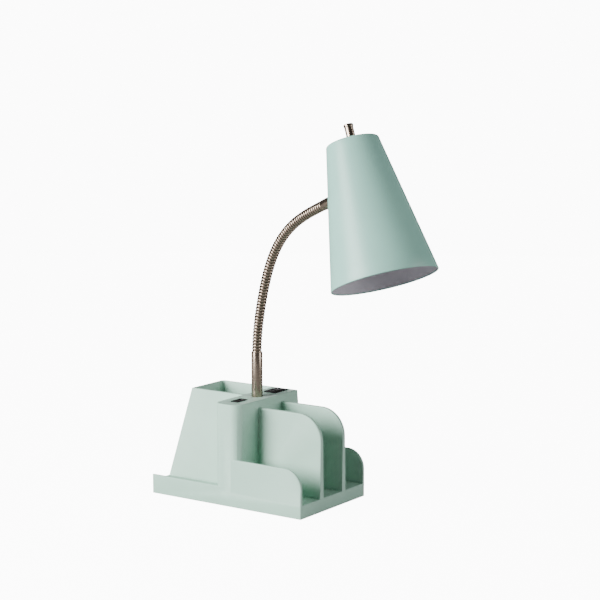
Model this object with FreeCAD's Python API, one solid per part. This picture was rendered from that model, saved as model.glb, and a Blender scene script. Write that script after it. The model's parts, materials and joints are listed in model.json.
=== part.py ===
import FreeCAD, Part
import math
import os

# Desk lamp on an organiser base. Millimetres, +Z up, X along the front, Y towards the back.
# The origin is the centre of the base's footprint, on the desk.

# Overall sizes of the base
base_width = 230.0
base_depth = 141.0
base_height = 128.0
deck_height = 16.5
wall = 2.6
corner_round = 1.5
top_edge_round = 1.0
cut_overrun = 2.0
edge_search = 0.2

# Pad and cover under the base
pad_thickness = 1.0
pad_margin = 9.0
pad_corner = 8.0
cover_thickness = 2.5
cover_gap = 0.3

# Lip in front of the tablet trough
lip_height = 24.0
lip_thickness = 4.0
lip_edge_round = 1.2

# Spine, the tall block that carries the lamp
spine_left = -16.5
spine_width = 37.5
spine_corner = 12.0
rear_step = 13.8

# Pen cup, whose sloping front is the tablet rest
rest_gap_at_deck = 32.7
rest_gap_at_top = 60.6
cup_side_step = 16.25
cup_rear_corner = 6.0
cup_front_corner = 2.0
pocket_floor_height = 26.0
pocket_draft = 1.4
pocket_corner = 5.0

# Letter sorter: two tall dividers between two low walls
divider_drop = 9.0
divider_corner = 33.0
divider_top_thickness = 4.8
divider_base_thickness = 8.4
divider_round = 1.6
divider_wall = 1.7
first_divider_gap = 45.8
second_divider_gap = 94.0
low_wall_height = 59.6
low_wall_corner = 24.0
low_wall_top_thickness = 3.6
low_wall_base_thickness = 4.2
low_wall_round = 1.3
low_wall_lap = 3.0

# Screw bosses and the screws that hold the cover
boss_radius = 5.0
boss_inset = 7.4
cover_screw_radius = 1.5
cover_screw_head_radius = 3.0
cover_screw_head_height = 1.6
cover_screw_length = 10.0
screw_gap = 0.2

# Ballast plate and its fixings
ballast_width = 150.0
ballast_depth = 100.0
ballast_thickness = 7.0
ballast_inset = 9.4
ballast_corner = 6.0
post_radius = 4.2
post_gap = 0.3
post_inset = 14.0
ballast_screw_radius = 1.6
ballast_screw_length = 7.0
ballast_head_radius = 5.6
ballast_head_height = 2.0

# Cord inlet in the back skirt
inlet_offset = -62.0
inlet_bore_radius = 3.6
inlet_sleeve_radius = 5.0
inlet_flange_radius = 6.6
inlet_flange = 1.5
inlet_lip = 1.2
inlet_lip_radius = 5.5

# Charging port at the front of the spine top
usb_setback = 28.0
bezel_length = 20.0
bezel_width = 11.0
bezel_proud = 0.9
bezel_corner = 1.0
bezel_plug_margin = 1.2
bezel_plug_depth = 4.2
port_length = 13.2
port_width = 5.7
port_skin = 0.35
port_depth = 14.0
port_gap = 0.3
tongue_length = 11.0
tongue_width = 1.9
tongue_drop = 1.2
tongue_seat = 3.0
contact_length = 6.4
contact_width = 1.0
contact_thickness = 0.25
contact_pitch = 2.5
contact_count = 4

# Charger board on the left wall of the spine
board_length = 26.0
board_height = 46.0
board_thickness = 1.6
board_top_drop = 6.0
board_boss_radius = 3.2
board_boss_inset = 4.5
board_screw_radius = 1.3
board_screw_head_radius = 2.6
board_screw_head = 1.5
board_screw_length = 8.0
transformer_length = 15.0
transformer_width = 12.0
transformer_height = 13.0
transformer_rise = 4.0
winding_radius = 5.0
winding_height = 2.0
capacitor_radius = 2.6
capacitor_length = 9.0
capacitor_pitch = 6.0
capacitor_drop = 7.0

# Mains outlet at the back of the spine top
outlet_inset = 21.7
outlet_length = 28.0
outlet_width = 18.0
outlet_proud = 1.1
outlet_corner = 1.2
outlet_face_margin = 2.6
outlet_face_rise = 0.8
outlet_body_margin = 1.4
outlet_body_depth = 21.0
outlet_hole_gap = 0.3
slot_spacing = 12.7
slot_width = 1.9
long_slot = 8.2
short_slot = 6.7
fork_depth = 14.0
fork_blade = 0.6
fork_pocket_gap = 0.4

# Lamp post: threaded end fitting, washers, nut and sleeve
post_share = 0.458065
post_offset = 1.6
thread_radius = 5.0
thread_bore = 3.4
thread_gap = 0.2
thread_below = 12.0
fitting_radius = 5.6
fitting_height = 55.0
washer_radius = 10.5
washer_thickness = 1.6
lock_washer_radius = 8.2
lock_washer_thickness = 1.4
lock_washer_split = 1.2
nut_across_flats = 16.0
nut_height = 6.0
sleeve_radius = 7.0
sleeve_skin = 0.9
sleeve_height = 56.5
sleeve_edge = 0.3

# Flexible neck: sixteen rigid lengths of ribbed hose, each with a ball and a socket
neck_plane_deg = 17.75
link_count = 16
ribs_per_link = 4
rib_pitch = 4.0
rib_gap = 1.3
rib_slope = 0.55
rib_radius = 5.45
groove_radius = 4.95
hose_bore = 2.9
ball_radius = 4.4
socket_gap = 0.3
ball_depth = 3.1
# How much of the neck's bend each length takes, from the post to the shade
bend_shares = (
    0.079, 0.061, 0.045, 0.035, 0.033, 0.043, 0.061, 0.081,
    0.098, 0.107, 0.104, 0.093, 0.074, 0.053, 0.029, 0.004,
)

# Shade, a tapered metal cone closed at the top
shade_tilt_deg = 21.15
shade_length = 165.7
shade_mouth_radius = 62.7
shade_top_radius = 30.7
shade_skin = 0.8
shade_shoulder = 2.4
hem_height = 3.0
hem_skin = 1.5
neck_drop = 52.3

# Neck to shade: sleeve, end fitting, saddles, washer and nut
head_sleeve_length = 33.0
head_sleeve_radius = 6.5
head_sleeve_skin = 0.7
saddle_radius = 8.6
saddle_thickness = 2.2
inner_saddle_radius = 9.0
inner_saddle_thickness = 2.4
head_thread_reach = 12.0
head_nut_height = 4.5
head_nut_across_flats = 15.0
head_washer_radius = 8.5
head_washer_thickness = 1.2

# Switch in the top of the shade
bushing_radius = 5.0
bushing_reach = 2.8
shaft_radius = 3.0
shaft_fit = 0.05
shaft_drop = 12.0
ring_nut_radius = 8.0
ring_nut_height = 2.4
ring_nut_notch = 1.6
ring_nut_notches = 6
switch_radius = 15.5
switch_height = 26.0
switch_edge = 1.5
shaft_pocket_gap = 0.4
knob_clearance = 0.5
knob_length = 17.6
knob_radius = 5.3
knob_cap_radius = 5.75
knob_cap_height = 3.0
knob_edge = 0.5
knob_bore_depth = 12.0
lead_hole_radius = 2.6

# Lampholder below the switch
holder_radius = 19.0
holder_skin = 2.6
holder_height = 38.0
holder_edge = 2.0
holder_floor = 4.0
screw_shell_radius = 14.6
screw_shell_skin = 0.4
screw_shell_length = 27.0
thread_pitch = 3.63
thread_depth = 0.45
thread_turns = 6
tip_spring_radius = 4.5
tip_spring_thickness = 0.6
tip_spring_rise = 2.4

# Bulb: screw cap, plastic neck and frosted globe
cap_gap = 0.35
cap_skin = 0.5
cap_length = 24.0
cap_glass_radius = 4.4
cap_glass_height = 2.0
tip_height = 1.2
bulb_neck_length = 26.0
bulb_neck_radius = 13.4
bulb_waist_radius = 20.5
bulb_radius = 24.0
bulb_skin = 1.2
globe_length = 36.0

# Wires held inside the base and inside the shade
wire_radius = 0.9
wire_spacing = 2.6
lamp_wire_drop = 14.0
lamp_wire_tuck = 9.0
lamp_wire_flat = 1.5
charger_wire_drop = 10.0
charger_wire_bend = 16.0
charger_wire_offset = 6.0
head_wire_bend = 4.5
head_wire_in = 1.0
head_wire_spacing = 2.4

# Places that follow from the sizes above
edge_z = pad_thickness
deck_z = edge_z + deck_height
top_z = edge_z + base_height
half_width = base_width / 2
front_y = -base_depth / 2
rear_y = base_depth / 2
rear_top_y = rear_y - rear_step
divider_height = base_height - divider_drop
ballast_x = -half_width + wall + ballast_inset + ballast_width / 2
usb_y = front_y + usb_setback
outlet_y = rear_top_y - outlet_inset
spine_right = spine_left + spine_width
spine_x = (spine_left + spine_right) / 2
cup_left_top = -half_width + cup_side_step
rest_deck_y = front_y + rest_gap_at_deck
rest_top_y = front_y + rest_gap_at_top
cover_top = edge_z + cover_thickness
post_x = spine_x + post_offset
post_y = usb_y + (outlet_y - usb_y) * post_share
link_length = ribs_per_link * rib_pitch
neck_plane = math.radians(neck_plane_deg)
neck_turn = math.radians(90.0 - shade_tilt_deg)
head_fitting_length = head_sleeve_length + saddle_thickness
taper = (shade_mouth_radius - shade_top_radius) / shade_length
neck_wall_radius = shade_top_radius + taper * neck_drop

up = FreeCAD.Vector(0, 0, 1)
neck_out = FreeCAD.Vector(math.cos(neck_plane), -math.sin(neck_plane), 0)
neck_side = up.cross(neck_out)
post_foot = FreeCAD.Vector(post_x, post_y, top_z)


# Plain solids

def block(x_span, y_span, z_span):
    corner = FreeCAD.Vector(x_span[0], y_span[0], z_span[0])
    return Part.makeBox(x_span[1] - x_span[0], y_span[1] - y_span[0], z_span[1] - z_span[0], corner)


def rod(radius, start, end):
    along = end - start
    return Part.makeCylinder(radius, along.Length, start, along)


def tube(outer, inner, start, end):
    along = (end - start).normalize() * cut_overrun
    return rod(outer, start, end).cut(rod(inner, start - along, end + along))


def upright(radius, x, y, z_span):
    return rod(radius, FreeCAD.Vector(x, y, z_span[0]), FreeCAD.Vector(x, y, z_span[1]))


def centred_block(centre, length_x, length_y, z_span):
    x_span = (centre[0] - length_x / 2, centre[0] + length_x / 2)
    y_span = (centre[1] - length_y / 2, centre[1] + length_y / 2)
    return block(x_span, y_span, z_span)


def rounded_block(centre, length_x, length_y, z_span, radius):
    solid = centred_block(centre, length_x, length_y, z_span)
    return solid.makeFillet(radius, [edge for edge in solid.Edges if runs_along(edge, up)])


def runs_along(edge, direction):
    if len(edge.Vertexes) < 2:
        return False
    along = edge.Vertexes[1].Point - edge.Vertexes[0].Point
    return abs(abs(along.dot(direction)) - along.Length) < along.Length / 1000


def hexagon(across_flats, start, end):
    along = end - start
    reach = across_flats / math.sqrt(3)
    side = along.cross(neck_side)
    if side.Length < along.Length / 2:
        side = along.cross(up)
    side.normalize()
    points = []
    for step in range(7):
        turn = FreeCAD.Rotation(along, step * 60.0)
        points.append(start + turn.multVec(side * reach))
    return Part.Face(Part.makePolygon(points)).extrude(along)


def turned(points):
    # A closed outline of (radius, height) points turned about the Z axis
    corners = [FreeCAD.Vector(radius, 0, height) for radius, height in points]
    outline = Part.makePolygon(corners + corners[:1])
    return Part.Face(outline).revolve(FreeCAD.Vector(0, 0, 0), up, 360)


def rounded_outline(x_span, y_span, z, radii):
    # Corners in turn: front left, front right, rear right, rear left
    left, right = x_span
    front, rear = y_span
    corners = [(left, front), (right, front), (right, rear), (left, rear)]
    inward = [(1, 1), (-1, 1), (-1, -1), (1, -1)]
    edges = []
    ends = []
    for (x, y), (in_x, in_y), radius in zip(corners, inward, radii):
        back = radius * (1 - math.sqrt(0.5))
        along_x = FreeCAD.Vector(x + in_x * radius, y, z)
        along_y = FreeCAD.Vector(x, y + in_y * radius, z)
        middle = FreeCAD.Vector(x + in_x * back, y + in_y * back, z)
        first, last = (along_y, along_x) if in_x * in_y > 0 else (along_x, along_y)
        ends.append((first, middle, last))
    for index, (first, middle, last) in enumerate(ends):
        edges.append(Part.Arc(first, middle, last).toShape())
        edges.append(Part.makeLine(last, ends[(index + 1) % len(ends)][0]))
    return Part.Wire(edges)


def tapered(low, high):
    return Part.makeLoft([low, high], True, True)


def joined(solids):
    return solids[0].multiFuse(solids[1:]).removeSplitter()


# Organiser body

def rear_face_y(z):
    share = (z - deck_z) / (top_z - deck_z)
    return rear_y - rear_step * share


def cup_form(inset, top):
    # The pen cup's outer form, or its inner skin when inset
    share = (top - deck_z) / (top_z - deck_z)
    left = -half_width + cup_side_step * share + inset
    front = rest_deck_y + (rest_top_y - rest_deck_y) * share + inset
    back = rear_face_y(top) - inset
    front_radius = cup_front_corner
    back_radius = cup_rear_corner - inset
    radii = (front_radius, front_radius, front_radius, back_radius)
    low_y = (rest_deck_y + inset, rear_y - inset)
    low = rounded_outline((-half_width + inset, spine_x), low_y, deck_z, radii)
    high = rounded_outline((left, spine_x), (front, back), top, radii)
    return tapered(low, high)


def spine_form(inset, bottom, top):
    outline = [
        (front_y + inset, bottom), (rear_y - inset, bottom), (rear_y - inset, max(bottom, deck_z)),
        (rear_face_y(top) - inset, top), (front_y + inset, top),
    ]
    points = [FreeCAD.Vector(spine_left + inset, y, z) for y, z in outline]
    face = Part.Face(Part.makePolygon(points + points[:1]))
    solid = face.extrude(FreeCAD.Vector(spine_width - 2 * inset, 0, 0))
    front_edges = [
        edge for edge in solid.Edges
        if runs_along(edge, up) and edge.Vertexes[0].Point.y < front_y + inset + cut_overrun
    ]
    return solid.makeFillet(spine_corner - inset, front_edges)


def tall_block():
    # Cup and spine together, with their common top edge softened
    solid = joined([cup_form(0, top_z), spine_form(0, edge_z, top_z)])
    top_face = [face for face in solid.Faces if abs(face.BoundBox.ZMin - top_z) < edge_search][0]
    return solid.makeFillet(top_edge_round, top_face.OuterWire.Edges)


def pocket(grow, floor, top):
    # The hollow of the pen cup, narrower at its floor
    left = cup_left_top + wall - grow
    right = spine_left + grow
    front = rest_top_y + wall - grow
    back = rear_top_y - wall + grow
    radii = (pocket_corner + grow,) * 4
    high = rounded_outline((left, right), (front, back), top, radii)
    draft = pocket_draft
    low = rounded_outline((left + draft, right), (front + draft, back - draft), floor, radii)
    return tapered(low, high)


def cup_void():
    # The space between the cup's sloping skin and the pocket's own walls, open below
    void = cup_form(wall, top_z - wall)
    kept = pocket(wall, edge_z + pocket_floor_height - wall, top_z)
    spine = block((spine_left, half_width), (front_y, rear_y), (edge_z, top_z))
    return void.cut(kept).cut(spine)


def drafted_panel(x_span, middle_y, top_thickness, base_thickness, z_span, corner, edge_round):
    # An upright panel with one rounded top corner, thicker at its foot
    bottom, top = z_span
    back = corner * (1 - math.sqrt(0.5))
    low_left = FreeCAD.Vector(x_span[0], middle_y - base_thickness, bottom)
    low_right = FreeCAD.Vector(x_span[1], low_left.y, bottom)
    arc_low = FreeCAD.Vector(x_span[1], low_left.y, top - corner)
    arc_middle = FreeCAD.Vector(x_span[1] - back, low_left.y, top - back)
    arc_high = FreeCAD.Vector(x_span[1] - corner, low_left.y, top)
    high_left = FreeCAD.Vector(x_span[0], low_left.y, top)
    edges = [
        Part.makeLine(low_left, low_right),
        Part.makeLine(low_right, arc_low),
        Part.Arc(arc_low, arc_middle, arc_high).toShape(),
        Part.makeLine(arc_high, high_left),
        Part.makeLine(high_left, low_left),
    ]
    plate = Part.Face(Part.Wire(edges)).extrude(FreeCAD.Vector(0, 2 * base_thickness, 0))
    wedge_points = [
        FreeCAD.Vector(x_span[0], middle_y - base_thickness / 2, bottom),
        FreeCAD.Vector(x_span[0], middle_y + base_thickness / 2, bottom),
        FreeCAD.Vector(x_span[0], middle_y + top_thickness / 2, top),
        FreeCAD.Vector(x_span[0], middle_y - top_thickness / 2, top),
    ]
    wedge = Part.Face(Part.makePolygon(wedge_points + wedge_points[:1]))
    solid = plate.common(wedge.extrude(FreeCAD.Vector(x_span[1] - x_span[0], 0, 0)))
    rim = [
        edge for edge in solid.Edges
        if edge.BoundBox.YLength < top_thickness / 2
        and edge.BoundBox.XMax > x_span[0] + corner / 2
        and edge.BoundBox.ZMax > bottom + corner / 2
    ]
    return solid.makeFillet(edge_round, rim)


def divider(gap):
    middle = front_y + gap
    return drafted_panel(
        (spine_x, half_width), middle, divider_top_thickness, divider_base_thickness,
        (deck_z - wall, edge_z + divider_height), divider_corner, divider_round)


def divider_void(gap):
    # The hollow inside a divider, open below
    middle = front_y + gap
    skin = 2 * divider_wall
    return drafted_panel(
        (spine_right + divider_wall, half_width - divider_wall - divider_round), middle,
        divider_top_thickness - skin, divider_base_thickness - skin,
        (edge_z, edge_z + divider_height - divider_wall - divider_round), divider_corner - divider_wall,
        (divider_top_thickness - skin) / 4)


def low_wall(at_front):
    inset = low_wall_base_thickness / 2
    middle = front_y + inset if at_front else rear_y - inset
    start = spine_x if at_front else spine_right - low_wall_lap
    return drafted_panel(
        (start, half_width), middle, low_wall_top_thickness, low_wall_base_thickness,
        (deck_z - wall, edge_z + low_wall_height), low_wall_corner, low_wall_round)


def lip():
    solid = block((-half_width, spine_x), (front_y, front_y + lip_thickness), (edge_z, edge_z + lip_height))
    rim = [
        edge for edge in solid.Edges
        if edge.BoundBox.YLength < lip_thickness / 2
        and edge.BoundBox.ZMax > edge_z + lip_height / 2
        and edge.BoundBox.XMin < spine_x - lip_thickness
    ]
    return solid.makeFillet(lip_edge_round, rim)


def boss_places():
    near_x = half_width - boss_inset
    near_y = rear_y - boss_inset
    return [(x, y) for x in (-near_x, spine_x, near_x) for y in (-near_y, near_y)]


def board_boss_places():
    # (y, z) of the two bosses that carry the charger board
    reach = board_length / 2 - board_boss_inset
    low = board_top() - board_height + board_boss_inset
    return [(usb_y - reach, low), (usb_y + reach, low)]


def board_top():
    return top_z - wall - board_top_drop


def board_x_span():
    face = spine_x - port_width / 2
    return (face - board_thickness, face)


def body_bosses():
    bosses = [upright(boss_radius, x, y, (cover_top, deck_z)) for x, y in boss_places()]
    start = spine_left + wall / 2
    for y, z in board_boss_places():
        end = FreeCAD.Vector(board_x_span()[0], y, z)
        bosses.append(rod(board_boss_radius, FreeCAD.Vector(start, y, z), end))
    return bosses


def body_holes():
    deep = (top_z - cut_overrun - wall, top_z + cut_overrun)
    plug_gap = 2 * bezel_plug_margin - 2 * port_gap
    holes = [
        centred_block((spine_x, usb_y), bezel_width - plug_gap, bezel_length - plug_gap, deep),
        centred_block((spine_x, outlet_y), outlet_width - 2 * outlet_body_margin + 2 * outlet_hole_gap,
                      outlet_length - 2 * outlet_body_margin + 2 * outlet_hole_gap, deep),
        upright(thread_radius + thread_gap, post_x, post_y, deep),
        rod(inlet_sleeve_radius + screw_gap, FreeCAD.Vector(inlet_offset, rear_y + cut_overrun, inlet_z()),
            FreeCAD.Vector(inlet_offset, rear_y - wall - cut_overrun, inlet_z())),
    ]
    pilot = (edge_z, edge_z + cover_screw_length)
    holes += [upright(cover_screw_radius, x, y, pilot) for x, y in boss_places()]
    for y, z in board_boss_places():
        end = board_x_span()[1]
        holes.append(rod(board_screw_radius, FreeCAD.Vector(end - board_screw_length, y, z),
                         FreeCAD.Vector(end, y, z)))
    return holes


def inlet_z():
    return edge_z + deck_height / 2


def organizer_body():
    slab = rounded_block((0, 0), base_width, base_depth, (edge_z, deck_z), corner_round)
    solid = joined([
        slab, tall_block(), lip(), low_wall(True), low_wall(False),
        divider(first_divider_gap), divider(second_divider_gap),
    ])
    under = centred_block((0, 0), base_width - 2 * wall, base_depth - 2 * wall, (edge_z, deck_z - wall))
    voids = [
        under,
        spine_form(wall, edge_z, top_z - wall),
        cup_void(),
        divider_void(first_divider_gap),
        divider_void(second_divider_gap),
        pocket(0, edge_z + pocket_floor_height, top_z + cut_overrun),
    ]
    solid = solid.cut(voids)
    solid = solid.multiFuse(body_bosses())
    return solid.cut(body_holes()).removeSplitter()


# Underside

def bottom_cover():
    margin = 2 * (wall + cover_gap)
    solid = centred_block((0, 0), base_width - margin, base_depth - margin, (edge_z, cover_top))
    posts = [
        upright(post_radius, x, y, (edge_z, cover_top + ballast_thickness)) for x, y in ballast_post_places()
    ]
    solid = solid.multiFuse(posts)
    holes = []
    for x, y in boss_places():
        holes.append(screw_body(x, y, screw_gap))
    for x, y in ballast_post_places():
        top = cover_top + ballast_thickness
        holes.append(upright(ballast_screw_radius, x, y, (top - ballast_screw_length, top)))
    return solid.cut(holes).removeSplitter()


def screw_body(x, y, grow):
    # A countersunk screw with its head flush with the cover's underside
    head = Part.makeCone(
        cover_screw_head_radius + grow, cover_screw_radius + grow, cover_screw_head_height,
        FreeCAD.Vector(x, y, edge_z), up)
    shank = upright(cover_screw_radius + grow, x, y, (edge_z, edge_z + cover_screw_length - grow))
    return head.fuse(shank).removeSplitter()


def cover_screws():
    return [screw_body(x, y, 0) for x, y in boss_places()]


def base_pad():
    margin = 2 * pad_margin
    return rounded_block((0, 0), base_width - margin, base_depth - margin, (0, pad_thickness), pad_corner)


def ballast_post_places():
    reach_x = ballast_width / 2 - post_inset
    reach_y = ballast_depth / 2 - post_inset
    return [(ballast_x + side * reach_x, end * reach_y) for side in (-1, 1) for end in (-1, 1)]


def ballast_plate():
    z_span = (cover_top, cover_top + ballast_thickness)
    solid = rounded_block((ballast_x, 0), ballast_width, ballast_depth, z_span, ballast_corner)
    return solid.cut([upright(post_radius + post_gap, x, y, z_span) for x, y in ballast_post_places()])


def ballast_screws():
    seat = cover_top + ballast_thickness
    screws = []
    for x, y in ballast_post_places():
        head = upright(ballast_head_radius, x, y, (seat, seat + ballast_head_height))
        head = head.makeFillet(ballast_head_height / 3, [head.Edges[0]])
        shank = upright(ballast_screw_radius, x, y, (seat - ballast_screw_length, seat))
        screws.append(head.fuse(shank))
    return screws


def cord_inlet_bush():
    # A flanged bush clipped into the back skirt
    def place(depth):
        return FreeCAD.Vector(inlet_offset, rear_y - depth, inlet_z())
    inner = wall + inlet_lip
    solid = joined([
        rod(inlet_flange_radius, place(-inlet_flange), place(0)),
        rod(inlet_sleeve_radius, place(0), place(inner)),
        rod(inlet_lip_radius, place(wall), place(inner)),
    ])
    rim = [edge for edge in solid.Edges if edge.BoundBox.YMin > rear_y + inlet_flange / 2]
    solid = solid.makeFillet(inlet_flange / 3, rim)
    return solid.cut(rod(inlet_bore_radius, place(-inlet_flange - cut_overrun), place(inner + cut_overrun)))


# Charging port and its board

def usb_centre():
    return (spine_x, usb_y)


def usb_bezel():
    centre = usb_centre()
    flange = rounded_block(centre, bezel_width, bezel_length, (top_z, top_z + bezel_proud), bezel_corner)
    plug_width = bezel_width - 2 * bezel_plug_margin
    plug_length = bezel_length - 2 * bezel_plug_margin
    plug = centred_block(centre, plug_width, plug_length, (top_z - bezel_plug_depth, top_z))
    hole = centred_block(centre, port_width + 2 * port_gap, port_length + 2 * port_gap,
                         (top_z - bezel_plug_depth, top_z + bezel_proud))
    return joined([flange, plug]).cut(hole)


def usb_shell():
    centre = usb_centre()
    z_span = (top_z - port_depth, top_z + bezel_proud / 2)
    outer = centred_block(centre, port_width, port_length, z_span)
    floor = z_span[0] + port_skin
    inner = centred_block(centre, port_width - 2 * port_skin, port_length - 2 * port_skin,
                          (floor, z_span[1] + cut_overrun))
    return outer.cut(inner)


def tongue_centre():
    # The tongue lies nearer to the board's side of the port
    inner_edge = spine_x - port_width / 2 + port_skin
    return (inner_edge + tongue_width, usb_y)


def usb_tongue():
    floor = top_z - port_depth + port_skin
    centre = usb_centre()
    seat = centred_block(centre, port_width - 2 * port_skin, port_length - 2 * port_skin,
                         (floor, floor + tongue_seat))
    tongue = centred_block(tongue_centre(), tongue_width, tongue_length, (floor, top_z - tongue_drop))
    return joined([seat, tongue])


def usb_contacts():
    top = top_z - 2 * tongue_drop
    x, y = tongue_centre()
    face = x + tongue_width / 2
    contacts = []
    for step in range(contact_count):
        middle = y + (step - (contact_count - 1) / 2) * contact_pitch
        y_span = (middle - contact_width / 2, middle + contact_width / 2)
        contacts.append(block((face, face + contact_thickness), y_span, (top - contact_length, top)))
    return contacts


def charger_board():
    y = usb_y
    y_span = (y - board_length / 2, y + board_length / 2)
    solid = block(board_x_span(), y_span, (board_top() - board_height, board_top()))
    holes = []
    for boss_y, z in board_boss_places():
        start = FreeCAD.Vector(board_x_span()[0], boss_y, z)
        holes.append(rod(board_screw_radius + screw_gap, start, FreeCAD.Vector(board_x_span()[1], boss_y, z)))
    return solid.cut(holes)


def charger_screws():
    screws = []
    face = board_x_span()[1]
    for y, z in board_boss_places():
        seat = FreeCAD.Vector(face, y, z)
        head = rod(board_screw_head_radius, seat, seat + FreeCAD.Vector(board_screw_head, 0, 0))
        shank = rod(board_screw_radius, seat - FreeCAD.Vector(board_screw_length, 0, 0), seat)
        screws.append(head.fuse(shank))
    return screws


def charger_transformer():
    face = board_x_span()[1]
    y = usb_y
    middle = board_top() - board_height / 2 - transformer_rise
    y_span = (y - transformer_length / 2, y + transformer_length / 2)
    z_span = (middle - transformer_height / 2, middle + transformer_height / 2)
    core = block((face, face + transformer_width), y_span, z_span)
    start = FreeCAD.Vector(face + transformer_width, y, middle)
    winding = rod(winding_radius, start, start + FreeCAD.Vector(winding_height, 0, 0))
    return core.fuse(winding)


def charger_capacitors():
    face = board_x_span()[1]
    y = usb_y
    top = charger_transformer().BoundBox.ZMin
    cans = []
    for side in (-1, 1):
        start = FreeCAD.Vector(face, y + side * capacitor_pitch / 2, top - capacitor_drop)
        can = rod(capacitor_radius, start, start + FreeCAD.Vector(capacitor_length, 0, 0))
        cans.append(can.makeFillet(capacitor_radius / 4, [can.Edges[0]]))
    return cans


# Mains outlet

def outlet_centre():
    return (spine_x, outlet_y)


def outlet_slots(z_span):
    x, y = outlet_centre()
    return [
        centred_block((x, y - slot_spacing / 2), long_slot, slot_width, z_span),
        centred_block((x, y + slot_spacing / 2), short_slot, slot_width, z_span),
    ]


def outlet_face():
    centre = outlet_centre()
    flange_top = top_z + outlet_proud
    face_top = flange_top + outlet_face_rise
    flange = rounded_block(centre, outlet_width, outlet_length, (top_z, flange_top), outlet_corner)
    margin = 2 * outlet_face_margin
    raised_z = (top_z, face_top)
    raised = rounded_block(centre, outlet_width - margin, outlet_length - margin, raised_z, outlet_corner)
    return joined([flange, raised]).cut(outlet_slots((top_z, face_top)))


def outlet_body():
    centre = outlet_centre()
    z_span = (top_z - outlet_body_depth, top_z)
    margin = 2 * outlet_body_margin
    solid = centred_block(centre, outlet_width - margin, outlet_length - margin, z_span)
    x, y = centre
    width = long_slot + 2 * fork_pocket_gap
    depth = slot_width + 2 * fork_blade + 2 * fork_pocket_gap
    for side in (-1, 1):
        middle = (x, y + side * slot_spacing / 2)
        solid = solid.cut(centred_block(middle, width, depth, (top_z - fork_depth - fork_pocket_gap, top_z)))
    return solid


def outlet_contacts():
    # Each blade's contact is a strip bent into a U
    x, y = outlet_centre()
    bottom = top_z - fork_depth - fork_pocket_gap
    forks = []
    for side in (-1, 1):
        middle = (x, y + side * slot_spacing / 2)
        thickness = slot_width + 2 * fork_blade
        outer = centred_block(middle, short_slot, thickness, (bottom, top_z - fork_pocket_gap))
        inner = centred_block(middle, long_slot, slot_width, (bottom + fork_blade, top_z))
        forks.append(outer.cut(inner))
    return forks


# Lamp post

def spine_point(height):
    return post_foot + up * height


def base_fitting():
    # Threaded below the spine top, plain and wider above it
    thread = rod(thread_radius, spine_point(-wall - thread_below), spine_point(0))
    shank = rod(fitting_radius, spine_point(0), spine_point(fitting_height))
    bore = rod(thread_bore, spine_point(-wall - thread_below), spine_point(fitting_height))
    return joined([thread, shank]).cut(bore)


def base_washer():
    return tube(washer_radius, thread_radius, spine_point(-wall - washer_thickness), spine_point(-wall))


def base_lock_washer():
    top = -wall - washer_thickness
    ring = tube(lock_washer_radius, thread_radius, spine_point(top - lock_washer_thickness), spine_point(top))
    split = block((post_x, post_x + washer_radius), (post_y, post_y + lock_washer_split), (edge_z, top_z))
    return ring.cut(split)


def base_nut():
    top = -wall - washer_thickness - lock_washer_thickness
    start = spine_point(top - nut_height)
    return hexagon(nut_across_flats, start, spine_point(top)).cut(rod(thread_radius, start, spine_point(top)))


def base_sleeve():
    solid = tube(sleeve_radius, sleeve_radius - sleeve_skin, spine_point(0), spine_point(sleeve_height))
    rim = [edge for edge in solid.Edges if edge.BoundBox.ZMin > top_z + sleeve_height / 2
           and edge.BoundBox.ZLength < sleeve_edge]
    return solid.makeChamfer(sleeve_edge, rim)


# Flexible neck

def neck_station(distance):
    # Place and lean of the neck's centre line, by distance from the spine top
    out = 0.0
    rise = min(distance, fitting_height)
    lean = 0.0
    left = distance - fitting_height
    for share in bend_shares:
        if left <= 0:
            return out, rise, lean
        run = min(left, link_length)
        bend = neck_turn * share / sum(bend_shares) / link_length
        turned_to = lean + bend * run
        out += (math.cos(lean) - math.cos(turned_to)) / bend
        rise += (math.sin(turned_to) - math.sin(lean)) / bend
        lean = turned_to
        left -= run
    left = max(left, 0)
    return out + left * math.sin(lean), rise + left * math.cos(lean), lean


def neck_point(distance):
    out, rise, lean = neck_station(distance)
    return post_foot + neck_out * out + up * rise


def neck_direction(distance):
    lean = neck_station(distance)[2]
    return neck_out * math.sin(lean) + up * math.cos(lean)


def neck_ring(distance, radius):
    # A circle square to the neck, with its X axis square to the neck's plane
    along = neck_direction(distance)
    turn = FreeCAD.Rotation(neck_side, along.cross(neck_side), along)
    ring = Part.makeCircle(radius)
    ring.Placement = FreeCAD.Placement(neck_point(distance), turn)
    return Part.Wire([ring])


def pivot_distance(index):
    # The joint above link number index
    return fitting_height + index * link_length


def ribbed_skin(number):
    low = pivot_distance(number - 1)
    rings = []
    if number == 1:
        rings.append(neck_ring(low, groove_radius))
    for rib in range(ribs_per_link):
        start = low + rib * rib_pitch + rib_gap / 2
        end = start + rib_pitch - rib_gap
        rings.append(neck_ring(start, groove_radius))
        rings.append(neck_ring(start + rib_slope, rib_radius))
        rings.append(neck_ring(end - rib_slope, rib_radius))
        rings.append(neck_ring(end, groove_radius))
    return Part.makeLoft(rings, True, True)


def ball(distance):
    # A ball below the joint's centre, joined upwards to the piece that it carries
    centre = neck_point(distance)
    along = neck_direction(distance)
    trim_low = rod(rib_radius, centre - along * (ball_radius + cut_overrun), centre - along * ball_depth)
    trim_high = rod(rib_radius, centre + along * (rib_gap / 2 + cut_overrun / 2),
                    centre + along * (ball_radius + cut_overrun))
    return Part.makeSphere(ball_radius, centre).cut([trim_low, trim_high])


def hose_hole(low, high):
    start = neck_point(low)
    end = neck_point(high)
    along = (end - start).normalize() * (ball_radius + socket_gap)
    return rod(hose_bore, start - along, end + along)


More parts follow.
